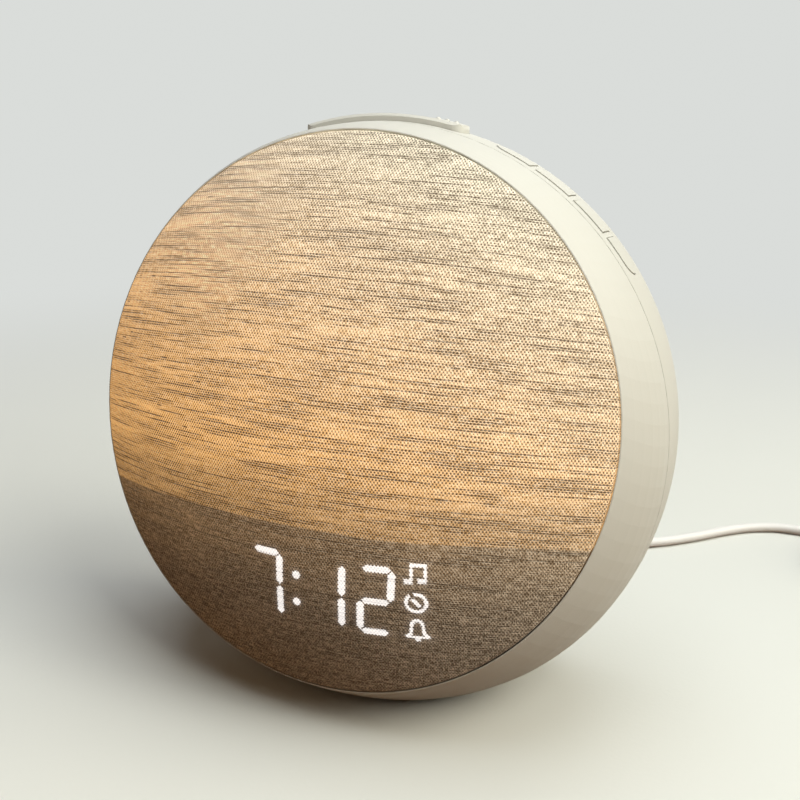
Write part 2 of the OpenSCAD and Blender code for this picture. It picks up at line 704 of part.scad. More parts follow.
// A control board lies across a radius; its ears are screwed to the shell's bosses.
module control_board(len) color("darkgreen") difference() {
    translate([0, 2, board_top - board_t]) linear_extrude(board_t) rounded(len, 19, 2);
    for (x = boss_places) translate([x, -boss_ahead, board_top - board_t - cut])
        cylinder(d = small_screw_d + 0.4, h = board_t + 2 * cut, $fn = 24);
}
module tact_switch() {
    translate([0, 0, switch_h / 2]) cube([switch_w, switch_w, switch_h], center = true);
    cylinder(d = 3.4, h = switch_h + plunger_h, $fn = 32);
}
board_margin = 7;
module bar_board() on_controls(bar_angle) control_board(bar_switch_x[1] - bar_switch_x[0] + 2 * board_margin);
module bar_switches() color("dimgray") on_controls(bar_angle) for (x = bar_switch_x)
    translate([x, -control_ahead, board_top]) tact_switch();
module key_board() on_controls(key_angle) control_board(3 * key_pitch + 2 * board_margin);
module key_switches() color("dimgray") on_controls(key_angle) for (k = [0:3])
    translate([(k - 1.5) * key_pitch, -control_ahead, board_top]) tact_switch();
control_screw_len = 5;
module control_screws() color("silver") for (angle = [bar_angle, key_angle]) on_controls(angle)
    for (x = boss_places) translate([x, -boss_ahead, board_top - board_t])
        rotate([90, 0, 0]) small_screw(control_screw_len);

// ---------------------------------------------------------------- main board
module main_board() color("darkgreen") on_globe() difference() {
    translate([0, main_y + board_t, main_z]) rotate([90, 0, 0])
        linear_extrude(board_t) rounded(main_w, main_h, 3);
    at_main_posts() translate([0, main_y - cut, 0]) rod(small_screw_d + 0.4, board_t + 2 * cut);
}
// A part on the board at a share of its width and height, with its own width, height and depth.
module at_board(share) translate([share[0] * main_w / 2, main_y + board_t, main_z + share[1] * main_h / 2])
    children();
module chip(share, size) at_board(share) translate([-size[0] / 2, 0, -size[1] / 2])
    cube([size[0], size[2], size[1]]);
plug_size = [main_w / 8, main_h / 8, main_h / 8];
module board_parts() color("black") on_globe() {
    chip([-0.13, 0.17], [main_w / 9, main_w / 9, board_t]);
    chip([-0.53, -0.26], [main_w / 11, main_h / 8, board_t]);
    chip([0.31, 0.52], [main_w / 15, main_h / 9, board_t]);
    for (share = [[0.27, -0.44], [0.62, -0.5], [-0.18, -0.7]]) chip(share, plug_size);
    for (share = [[0.47, 0.17], [0.71, 0.17]]) at_board(share) rod(main_w / 11, main_h / 4);
}
cell_d = 16;
cell_h = 3.2;
module backup_cell() color("silver") on_globe() at_board([-0.58, 0.43]) rod(cell_d, cell_h);
board_screw_len = 6;
module board_screws() color("silver") on_globe() at_main_posts()
    translate([0, main_y, 0]) small_screw(board_screw_len);

// ---------------------------------------------------------------- loudspeaker
gasket_t = 0.8;
frame_t = 1.5;
frame_y = speaker_face - gasket_t - frame_t;
magnet_d = 30;
magnet_t = 8;
web_t = 1.2;
cone_t = 0.6;
cone_mouth = 7;
cap_mid = 15;
cap_ball = 9.8;
module at_speaker() on_globe() translate([0, 0, speaker_z]) children();
module speaker_frame() color("dimgray") difference() {
    union() {
        at_speaker() translate([0, frame_y + frame_t, 0]) rotate([90, 0, 0])
            linear_extrude(frame_t) rounded(speaker_w, speaker_w, 4);
        at_speaker() turned() polygon([[magnet_d / 2 - 1, frame_y - speaker_depth + magnet_t],
            [magnet_d / 2 + 1, frame_y - speaker_depth + magnet_t], [cone_d / 2 + 3, frame_y],
            [cone_d / 2 + 3, frame_y + frame_t], [cone_d / 2 + 2, frame_y + frame_t],
            [cone_d / 2 + 2, frame_y], [magnet_d / 2 - 1, frame_y - speaker_depth + magnet_t + web_t]]);
    }
    at_speaker() translate([0, frame_y - cut, 0]) rod_bore(cone_d + 4, frame_t + 2 * cut);
    for (a = [45:90:315]) at_speaker() rotate([0, a, 0])
        translate([-5, frame_y - 8, cone_d / 2 - 3]) cube([10, 6.5, 10]);
    on_globe() at_speaker_screws() translate([0, frame_y - cut, 0])
        rod(small_screw_d + 0.4, frame_t + 2 * cut);
}
module speaker_magnet() color("gray") at_speaker() {
    translate([0, frame_y - speaker_depth, 0]) rod_bore(magnet_d, magnet_t);
}
module speaker_cone() color("black") at_speaker() turned() polygon(concat(
    arc(0, frame_y - cap_mid, cap_ball, 90, 50, 6),
    [[cone_d / 2 - 3, frame_y + 0.2], [cone_d / 2 - 3, frame_y + 0.2 - cone_t],
    [cone_mouth, frame_y - cap_mid + 0.8 * cone_mouth],
    [cone_mouth - 2 * cone_t, frame_y - cap_mid + 0.8 * cone_mouth]],
    arc(0, frame_y - cap_mid, cap_ball - cone_t, 52, 90, 6)));
module speaker_surround() color("black") at_speaker() turned() polygon(concat(
    [[cone_d / 2 + 2, frame_y]], [[cone_d / 2 + 2, frame_y + 0.5]],
    arc(cone_d / 2 - 0.5, frame_y + 0.5, 2.2, 0, 180, 8),
    [[cone_d / 2 - 3, frame_y + 0.5], [cone_d / 2 - 3, frame_y + 0.2]],
    arc(cone_d / 2 - 0.5, frame_y + 0.2, 1.7, 180, 0, 8)));
module speaker_gasket() color("black") at_speaker() translate([0, speaker_face - gasket_t, 0])
    difference() {
        rod_bore(cone_d + 7, gasket_t);
        translate([0, -cut, 0]) rod_bore(cone_d + 4.2, gasket_t + 2 * cut);
    }
speaker_screw_len = 5.5;
module speaker_screws() color("silver") on_globe() at_speaker_screws()
    translate([0, frame_y, 0]) small_screw(speaker_screw_len);

// ---------------------------------------------------------------- power inlet
jack_w = 11;
jack_len = 13;
module at_jack() on_globe() translate([jack_x, inner_back, jack_z]) children();
module power_jack() color("black") at_jack() {
    difference() {
        translate([-jack_w / 2, -jack_len, -jack_w / 2]) cube([jack_w, jack_len, jack_w]);
        translate([0, -barrel_len - 0.5, 0]) rod(barrel_d + 0.5, barrel_len + 2);
    }
    translate([0, -jack_len + 2, 0]) rod(1.6, jack_len - 4);
}
module jack_board() color("darkgreen") at_jack()
    translate([-0.9 * jack_w, -jack_len - board_t, -0.8 * jack_w])
        cube([1.8 * jack_w, board_t, 1.6 * jack_w]);

// ---------------------------------------------------------------- screws and feet
screw_len = screw_seat + parting_ahead + 8;
module shell_screws() color("silver") on_globe() at_shell_screws()
    translate([0, screw_seat, 0]) rotate([180, 0, 0]) {
        rod(screw_d, screw_len);
        difference() {
            translate([0, -2.2, 0]) rod(5.6, 2.2);
            translate([0, -2.2 - cut, 0]) rotate([-90, 0, 0]) cylinder(d = 2.6, h = cut + 1.2, $fn = 6);
        }
    }
module feet() color("gray") for (y = foot_places) translate([0, y, 0])
    linear_extrude(foot_proud + foot_pocket - 0.02) foot_shape();

// ---------------------------------------------------------------- lead
module plug_grip() color("white") at_jack() difference() {
    turned() polygon([[0, 0], [plug_d / 2 - 0.6, 0], [plug_d / 2, 0.6], [plug_d / 2, plug_len - 2],
        [plug_d / 2 - 1.4, plug_len], [lead_d / 2 + 1.3, plug_len + 1],
        [lead_d / 2 + 0.5, plug_len + relief_len], [0, plug_len + relief_len]]);
    for (i = [0:3]) translate([0, plug_len + 3 + 3.6 * i, 0]) turned()
        translate([lead_d / 2 + 0.35, 0]) square([3, 1.2]);
}
module plug_barrel() color("silver") at_jack() difference() {
    translate([0, -barrel_len, 0]) rod(barrel_d, barrel_len);
    translate([0, -barrel_len - cut, 0]) rod(2.5, barrel_len);
}

// Points of the lead's free run, from the strain relief to the coil.
lead_points = [[38, 75, 37], [38, 84, 35.6], [38, 94, 32], [39, 103, 25], [42, 111, 16],
    [47, 118, 8], [54, 123, 3.4], [62, 127, 2.1], [72, 132, 2.1], [82, 139, 2.1],
    [92, 148, 2.1], [102, 158, 2.1], [112, 166, 2.1], [123, 171, 2.1], [134, 172, 2.1],
    [146, 172, 2.1], [157, 172, 2.1], [168, 172, 2.1]];
lead_sides = 8;
lead_substeps = 3;
// A smooth curve through the points.
function spline(p, i, t) = let (a = p[max(i - 1, 0)], b = p[i], c = p[i + 1],
    d = p[min(i + 2, len(p) - 1)])
    0.5 * (2 * b + t * (c - a) + t * t * (2 * a - 5 * b + 4 * c - d) + t * t * t * (3 * b - a - 3 * c + d));
function run(p) = [for (i = [0:len(p) - 2], s = [0:lead_substeps - 1])
    spline(p, i, s / lead_substeps)];
function unit(v) = v / norm(v);
function ring_at(c, dir, r) = let (side = unit(cross(dir, [0, 0, 1])), up = cross(side, dir))
    [for (k = [0:lead_sides - 1]) let (a = 360 * k / lead_sides)
        c + r * (cos(a) * side + sin(a) * up)];
module tube(points, r) {
    m = len(points) - 1;
    n = lead_sides;
    rings = [for (i = [0:m])
        ring_at(points[i], unit(points[min(i + 1, m)] - points[max(i - 1, 0)]), r)];
    polyhedron(
        points = [for (ring = rings) each ring],
        faces = concat(
            [for (i = [0:m - 1], j = [0:n - 1]) let (k = (j + 1) % n)
                each [[i * n + j, i * n + k, (i + 1) * n + j],
                    [i * n + k, (i + 1) * n + k, (i + 1) * n + j]]],
            [[for (j = [n - 1:-1:0]) j]], [[for (j = [0:n - 1]) m * n + j]]));
}
relief_end = [jack_x,
    body_y + (inner_back + plug_len + relief_len) * cos(shell_lean) + jack_z * sin(shell_lean),
    body_rise - (inner_back + plug_len + relief_len) * sin(shell_lean) + jack_z * cos(shell_lean)];
module lead_tube() color("white")
    tube(concat([relief_end], run([for (i = [1:len(lead_points) - 1]) lead_points[i]]),
        [lead_points[len(lead_points) - 1]]), lead_d / 2);

coil_x = 180;
coil_y = 146;
coil_mid = 22;
coil_band = 3 * lead_d;
module lead_coil() color("white") translate([coil_x, coil_y, 0]) rotate_extrude($fn = 64)
    translate([coil_mid - coil_band / 2, 0]) square([coil_band, coil_band]);
end_w = 16;
end_len = 24;
end_h = 8;
module at_end() translate([coil_x + end_len / 2, coil_y - coil_mid - coil_band / 2 - end_w / 2 - 0.4, 0])
    rotate([0, 0, 90]) children();
module end_plug() color("white") at_end()
    translate([-end_w / 2, 0, 0]) cube([end_w, end_len, end_h]);
shell_w = 12;
shell_h = 4.5;
sheet_t = 0.4;
module end_plug_shell() color("silver") at_end()
    translate([-shell_w / 2, end_len, (end_h - shell_h) / 2]) difference() {
        cube([shell_w, shell_w, shell_h]);
        translate([sheet_t, 1, sheet_t]) cube([shell_w - 2 * sheet_t, shell_w, shell_h - 2 * sheet_t]);
    }

linen_face();
diffuser_dome();
figure_mask();
light_guides();
front_shell();
reflector();
divider();
lamp_board();
lamp_chips();
figure_board();
figure_leds();
figure_screws();
reflector_screws();
rear_shell();
tap_bar();
key_sound();
key_light();
key_timer();
key_alarm();
bar_board();
bar_switches();
key_board();
key_switches();
control_screws();
main_board();
board_parts();
backup_cell();
board_screws();
speaker_frame();
speaker_magnet();
speaker_cone();
speaker_surround();
speaker_gasket();
speaker_screws();
power_jack();
jack_board();
shell_screws();
feet();
plug_grip();
plug_barrel();
lead_tube();
lead_coil();
end_plug();
end_plug_shell();
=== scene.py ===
"""Dressed model of a round bedside light clock.

The moulded body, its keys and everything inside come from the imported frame. This
script adds the linen skin of the domed face, the lead with its coil and tie, the
finish of every piece, and a plain studio to look at them in. Lengths are metres.
"""
from __future__ import annotations

import logging
import math
from dataclasses import dataclass
from enum import Enum
from functools import reduce
from typing import Callable, Mapping, Sequence, Union

import bmesh
import bpy
import numpy as np
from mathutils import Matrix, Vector

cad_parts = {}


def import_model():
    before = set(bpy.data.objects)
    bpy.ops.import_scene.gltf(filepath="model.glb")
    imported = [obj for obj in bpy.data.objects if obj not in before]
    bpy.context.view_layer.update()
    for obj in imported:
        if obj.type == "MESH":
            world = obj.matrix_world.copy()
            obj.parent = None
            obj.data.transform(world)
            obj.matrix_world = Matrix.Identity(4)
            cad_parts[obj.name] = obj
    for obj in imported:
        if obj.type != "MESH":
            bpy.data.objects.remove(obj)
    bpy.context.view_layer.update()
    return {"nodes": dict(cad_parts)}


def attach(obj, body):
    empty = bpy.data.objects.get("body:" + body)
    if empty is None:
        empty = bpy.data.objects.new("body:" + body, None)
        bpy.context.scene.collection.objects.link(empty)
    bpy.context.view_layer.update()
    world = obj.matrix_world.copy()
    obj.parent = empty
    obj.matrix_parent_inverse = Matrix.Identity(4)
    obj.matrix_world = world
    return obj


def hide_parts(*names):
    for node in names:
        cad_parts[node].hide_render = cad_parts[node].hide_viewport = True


log = logging.getLogger("light_clock")

Colour = tuple[float, float, float]
BODY = "clock"
TURN = 2.0 * math.pi
FACE_RADIUS = 0.0846
FACE_CROWN = 0.024
DOME_RADIUS = (FACE_RADIUS**2 + FACE_CROWN**2) / (2.0 * FACE_CROWN)


# -------------------- places on the body
@dataclass(frozen=True)
class LeaningPlace:
    """A place whose own axes lean back about X, as the shell and the face do."""

    origin: tuple[float, float, float]
    lean: float

    def world(self, points: np.ndarray) -> np.ndarray:
        """Points of this place, one row each, in the frame of the whole clock.

        They are leant back by `lean` degrees and moved to the origin.
        """
        angle = math.radians(self.lean)
        c, s = math.cos(angle), math.sin(angle)
        x, y, z = points[..., 0], points[..., 1], points[..., 2]
        turned = np.stack([x, y * c + z * s, -y * s + z * c], axis=-1)
        return turned + np.array(self.origin)

    def local(self, points: np.ndarray) -> np.ndarray:
        """Points of the whole clock, one row each, in this place's own axes."""
        angle = math.radians(self.lean)
        c, s = math.cos(angle), math.sin(angle)
        moved = points - np.array(self.origin)
        x, y, z = moved[..., 0], moved[..., 1], moved[..., 2]
        return np.stack([x, y * c - z * s, y * s + z * c], axis=-1)


FACE = LeaningPlace(origin=(0.0, -0.02085, 0.0985), lean=12.0)


# -------------------- shader expressions
def operation(name: str, swapped: bool = False) -> Callable[..., "Level"]:
    """A method of `Level` that adds a Math node and takes its other values.

    When `swapped`, the level comes last, as the reflected operators need.
    """

    def act(level: "Level", *others: "Number") -> "Level":
        values = (*others, level) if swapped else (level, *others)
        return level.graph.math(name, *values)

    return act


class Level:
    """A number that changes over a surface. Arithmetic on it adds Math nodes."""

    __add__ = __radd__ = operation("ADD")
    __sub__ = operation("SUBTRACT")
    __rsub__ = operation("SUBTRACT", swapped=True)
    __mul__ = __rmul__ = operation("MULTIPLY")
    __truediv__ = operation("DIVIDE")
    __pow__ = operation("POWER")
    __abs__ = operation("ABSOLUTE")
    cos = operation("COSINE")
    floor = operation("FLOOR")
    least = operation("MINIMUM")
    most = operation("MAXIMUM")

    def __init__(self, graph: "Graph", socket: bpy.types.NodeSocket) -> None:
        """Wraps the output `socket` of a node in `graph`."""
        self.graph = graph
        self.socket = socket

    def held(self) -> "Level":
        """This, kept between 0 and 1."""
        return self.most(0.0).least(1.0)

    def ramp(self, low: float, high: float) -> "Level":
        """The smooth step of this value, from 0 at `low` to 1 at `high`."""
        made = self.graph.node(
            "ShaderNodeMapRange",
            {"interpolation_type": "SMOOTHSTEP"},
            {"Value": self, "From Min": low, "From Max": high},
        )
        return Level(self.graph, made.outputs["Result"])


Number = Union[Level, float]
Input = Union[Level, bpy.types.NodeSocket, float, Sequence[float]]
Sockets = Mapping[object, Input]


class Graph:
    """The nodes of one material or world, all made by the same method."""

    def __init__(self, name: str, world: bool = False) -> None:
        """Starts an empty material or world called `name`."""
        self.owner = (bpy.data.worlds if world else bpy.data.materials).new(name)
        self.owner.use_nodes = True
        self.tree = self.owner.node_tree
        self.tree.nodes.clear()

    def node(
        self,
        kind: str,
        settings: Mapping[str, object] | None = None,
        sockets: Sockets | None = None,
    ) -> bpy.types.Node:
        """Adds a node, applies its settings and then its inputs' values and links."""
        made = self.tree.nodes.new(kind)
        for name, value in (settings or {}).items():
            setattr(made, name, value)
        for name, value in (sockets or {}).items():
            socket = made.inputs[name]
            if isinstance(value, Level):
                value = value.socket
            if isinstance(value, bpy.types.NodeSocket):
                self.tree.links.new(value, socket)
            elif isinstance(value, tuple) and socket.type == "RGBA":
                socket.default_value = (*value[:3], 1.0)
            else:
                socket.default_value = value
        return made

    def math(self, operation: str, *values: Number) -> Level:
        """Adds a Math node that works on `values`."""
        made = self.node("ShaderNodeMath", {"operation": operation}, dict(enumerate(values)))
        return Level(self, made.outputs[0])

    def place(self) -> bpy.types.NodeSocket:
        """Object coordinates, in metres."""
        return self.node("ShaderNodeTexCoord").outputs["Object"]

    def uv(self, name: str) -> bpy.types.NodeSocket:
        """The UV map called `name`."""
        return self.node("ShaderNodeUVMap", {"uv_map": name}).outputs["UV"]

    def rays(self, *kinds: str) -> Level:
        """1 for rays of any of the given kinds and 0 for the rest."""
        paths = self.node("ShaderNodeLightPath").outputs
        return reduce(Level.most, [Level(self, paths[f"Is {kind} Ray"]) for kind in kinds])

    def split(self, vector: bpy.types.NodeSocket) -> tuple[Level, Level, Level]:
        """The three parts of a vector."""
        made = self.node("ShaderNodeSeparateXYZ", None, {0: vector})
        return tuple(Level(self, made.outputs[i]) for i in range(3))

    def joined(self, x: Number, y: Number) -> bpy.types.NodeSocket:
        """A vector with two given parts."""
        return self.node("ShaderNodeCombineXYZ", None, {0: x, 1: y}).outputs[0]

    def stretched(
        self, vector: bpy.types.NodeSocket, scale: Sequence[float], shift: float = 0.0
    ) -> bpy.types.NodeSocket:
        """A vector scaled along each axis and shifted by the same amount."""
        made = self.node(
            "ShaderNodeMapping", None,
            {"Vector": vector, "Scale": tuple(scale), "Location": (shift,) * 3},
        )
        return made.outputs[0]

    def noise(
        self, vector: bpy.types.NodeSocket, scale: float, detail: float = 2.0, rough: float = 0.5
    ) -> Level:
        """Smooth noise from 0 to 1, with `scale` waves in one unit of `vector`.

        `detail` is the number of finer layers and `rough` how strong they are.
        """
        made = self.node(
            "ShaderNodeTexNoise", None,
            {"Vector": vector, "Scale": scale, "Detail": detail, "Roughness": rough},
        )
        return Level(self, made.outputs["Fac"])

    def blend(self, share: Number, first: Input, second: Input) -> bpy.types.NodeSocket:
        """Colour that goes from `first` to `second` as `share` goes from 0 to 1."""
        made = self.node(
            "ShaderNodeMix", {"data_type": "RGBA"}, {0: share, 6: first, 7: second}
        )
        return made.outputs[2]

    def times(self, colour: Input, level: Number) -> bpy.types.NodeSocket:
        """A colour made brighter or darker by a level."""
        made = self.node(
            "ShaderNodeVectorMath", {"operation": "SCALE"}, {0: colour, "Scale": level}
        )
        return made.outputs[0]

    def colours(self, operation: str, first: Input, second: Input) -> bpy.types.NodeSocket:
        """Two colours added or multiplied, part by part."""
        made = self.node(
            "ShaderNodeVectorMath", {"operation": operation}, {0: first, 1: second}
        )
        return made.outputs[0]

    def bump(self, height: Level, depth: float, strength: float = 1.0) -> bpy.types.NodeSocket:
        """A normal roughened by `height`, whose full range is `depth` metres."""
        made = self.node(
            "ShaderNodeBump", None,
            {"Height": height, "Distance": depth, "Strength": strength},
        )
        return made.outputs[0]

    def finished(self, sockets: Sockets) -> bpy.types.Material:
        """Ends the material with a Principled shader that has these inputs."""
        shader = self.node("ShaderNodeBsdfPrincipled", None, sockets)
        self.node("ShaderNodeOutputMaterial", None, {"Surface": shader.outputs[0]})
        return self.owner


# -------------------- finishes
@dataclass(frozen=True)
class Surface:
    """A finish; each kind of it says what feeds the shader's inputs."""

    name: str

    def sockets(self, g: Graph) -> Sockets:
        """A value or a link for each of the shader's inputs that is set."""
        raise NotImplementedError

    def material(self) -> bpy.types.Material:
        """Makes the finish's material, which has one Principled shader."""
        g = Graph(self.name)
        return g.finished(self.sockets(g))


@dataclass(frozen=True)
class Moulded(Surface):
    """Moulded plastic with the fine grain that the tool leaves on it."""

    colour: Colour
    roughness: float = 0.5
    grain: float = 0.0005
    depth: float = 0.00002
    mottle: float = 0.03
    clear: float = 0.0
    gloss: float = 0.4

    def sockets(self, g: Graph) -> Sockets:
        """A colour that drifts a little and a grain in the normal."""
        where = g.place()
        cloud = g.noise(where, 28.0, 3.0, 0.6)
        grain = g.noise(where, 1.0 / self.grain, 2.0, 0.6)
        shade = 1.0 - self.mottle + cloud * (2.0 * self.mottle)
        return {
            "Base Color": g.times(self.colour, shade),
            "Roughness": self.roughness - 0.05 + cloud * 0.1,
            "Specular IOR Level": self.gloss,
            "Transmission Weight": self.clear,
            "Normal": g.bump(grain, self.depth),
        }


@dataclass(frozen=True)
class Metal(Surface):
    """Turned, plated or sheet metal with fine tool marks."""

    colour: Colour
    roughness: float = 0.3
    marks: float = 0.0002

    def sockets(self, g: Graph) -> Sockets:
        """A metal with rubbed patches and tool marks."""
        where = g.place()
        rubbed = g.noise(where, 320.0, 3.0, 0.6)
        marks = g.noise(g.stretched(where, (1.0, 0.1, 1.0)), 1.0 / self.marks, 1.0)
        return {
            "Base Color": g.times(self.colour, 0.88 + rubbed * 0.2),
            "Metallic": 1.0,
            "Roughness": self.roughness - 0.08 + rubbed * 0.2,
            "Normal": g.bump(marks, 0.000006),
        }


@dataclass(frozen=True)
class CircuitBoard(Surface):
    """Green lacquer over copper tracks."""

    name: str = "green_board"
    lacquer: Colour = (0.02, 0.13, 0.06)
    track: Colour = (0.05, 0.25, 0.11)
    pitch: float = 0.0026

    def sockets(self, g: Graph) -> Sockets:
        """A glossy green with paler tracks that stand a little proud."""
        where = g.place()
        cells = g.node(
            "ShaderNodeTexVoronoi",
            {"feature": "DISTANCE_TO_EDGE", "distance": "CHEBYCHEV"},
            {"Vector": where, "Scale": 1.0 / self.pitch},
        )
        tracks = 1.0 - Level(g, cells.outputs["Distance"]).ramp(0.05, 0.11)
        return {
            "Base Color": g.blend(tracks, self.lacquer, self.track),
            "Roughness": 0.34 - tracks * 0.06,
            "Normal": g.bump(tracks, 0.00003),
        }


@dataclass(frozen=True)
class SoftRubber(Surface):
    """Matt rubber or foam, dusty in its pores."""

    colour: Colour
    pore: float = 0.0006
    roughness: float = 0.85

    def sockets(self, g: Graph) -> Sockets:
        """A dull surface with pores and a pale bloom."""
        where = g.place()
        pores = g.noise(where, 1.0 / self.pore, 3.0, 0.65)
        bloom = g.noise(where, 60.0, 3.0)
        return {
            "Base Color": g.times(self.colour, 0.75 + bloom * 0.5),
            "Roughness": self.roughness,
            "Specular IOR Level": 0.3,
            "Normal": g.bump(pores, 0.00006),
        }


@dataclass(frozen=True)
class PressedPaper(Surface):
    """Black paper of a loudspeaker cone, with fibres round it."""

    name: str = "cone_paper"
    colour: Colour = (0.022, 0.021, 0.02)

    def sockets(self, g: Graph) -> Sockets:
        """A matt black with short fibres."""
        where = g.place()
        fibres = g.noise(where, 900.0, 4.0, 0.7)
        return {
            "Base Color": g.times(self.colour, 0.6 + fibres * 1.1),
            "Roughness": 0.8,
            "Normal": g.bump(fibres, 0.00008),
        }


@dataclass(frozen=True)
class LeadJacket(Surface):
    """Soft white jacket of the lead, faintly ribbed by the strands inside."""

    name: str = "lead_jacket"
    colour: Colour = (0.92, 0.92, 0.92)
    lay: float = 0.014

    def sockets(self, g: Graph) -> Sockets:
        """A white, slightly glossy plastic whose UV map runs along the lead in metres."""
        along, round_, _ = g.split(g.uv("jacket"))
        twist = ((along / self.lay + round_) * TURN).cos()
        skin = g.noise(g.place(), 900.0, 2.0)
        scuff = g.noise(g.place(), 70.0, 3.0, 0.6)
        return {
            "Base Color": g.times(self.colour, 0.96 + scuff * 0.07),
            "Roughness": 0.36 + scuff * 0.16,
            "Subsurface Weight": 0.7,
            "Subsurface Radius": (1.0, 1.0, 1.0),
            "Subsurface Scale": 0.003,
            "Normal": g.bump(twist * 0.5 + skin * 0.5, 0.00002),
        }


@dataclass(frozen=True)
class HookTape(Surface):
    """Woven tape with a fuzzy loop side, used for the tie."""

    name: str = "tie_tape"
    colour: Colour = (0.72, 0.72, 0.70)
    thread: float = 0.0005

    def sockets(self, g: Graph) -> Sockets:
        """A soft white with rows of loops."""
        where = g.place()
        x, y, z = g.split(where)
        rows = ((x + y) * (TURN / self.thread)).cos() * 0.5 + 0.5
        fuzz = g.noise(where, 2600.0, 3.0, 0.7)
        return {
            "Base Color": g.times(self.colour, 0.78 + rows * 0.12 + fuzz * 0.2),
            "Roughness": 0.9,
            "Normal": g.bump(rows * 0.4 + fuzz * 0.6, 0.0001),
        }


# -------------------- the time that shows
class Stroke(Enum):
    """The seven strokes of a figure: across or upright, and the place of its middle.

    The place is a share of half the figure's width and of half its height.
    """

    TOP = (True, 0.0, 1.0)
    MIDDLE = (True, 0.0, 0.0)
    BOTTOM = (True, 0.0, -1.0)
    UPPER_LEFT = (False, -1.0, 0.5)
    UPPER_RIGHT = (False, 1.0, 0.5)
    LOWER_LEFT = (False, -1.0, -0.5)
    LOWER_RIGHT = (False, 1.0, -0.5)


STROKES_OF: dict[str, tuple[Stroke, ...]] = {
    "1": (Stroke.UPPER_RIGHT, Stroke.LOWER_RIGHT),
    "2": (Stroke.TOP, Stroke.UPPER_RIGHT, Stroke.MIDDLE, Stroke.LOWER_LEFT, Stroke.BOTTOM),
    "7": (Stroke.TOP, Stroke.UPPER_RIGHT, Stroke.LOWER_RIGHT),
    " ": (),
}


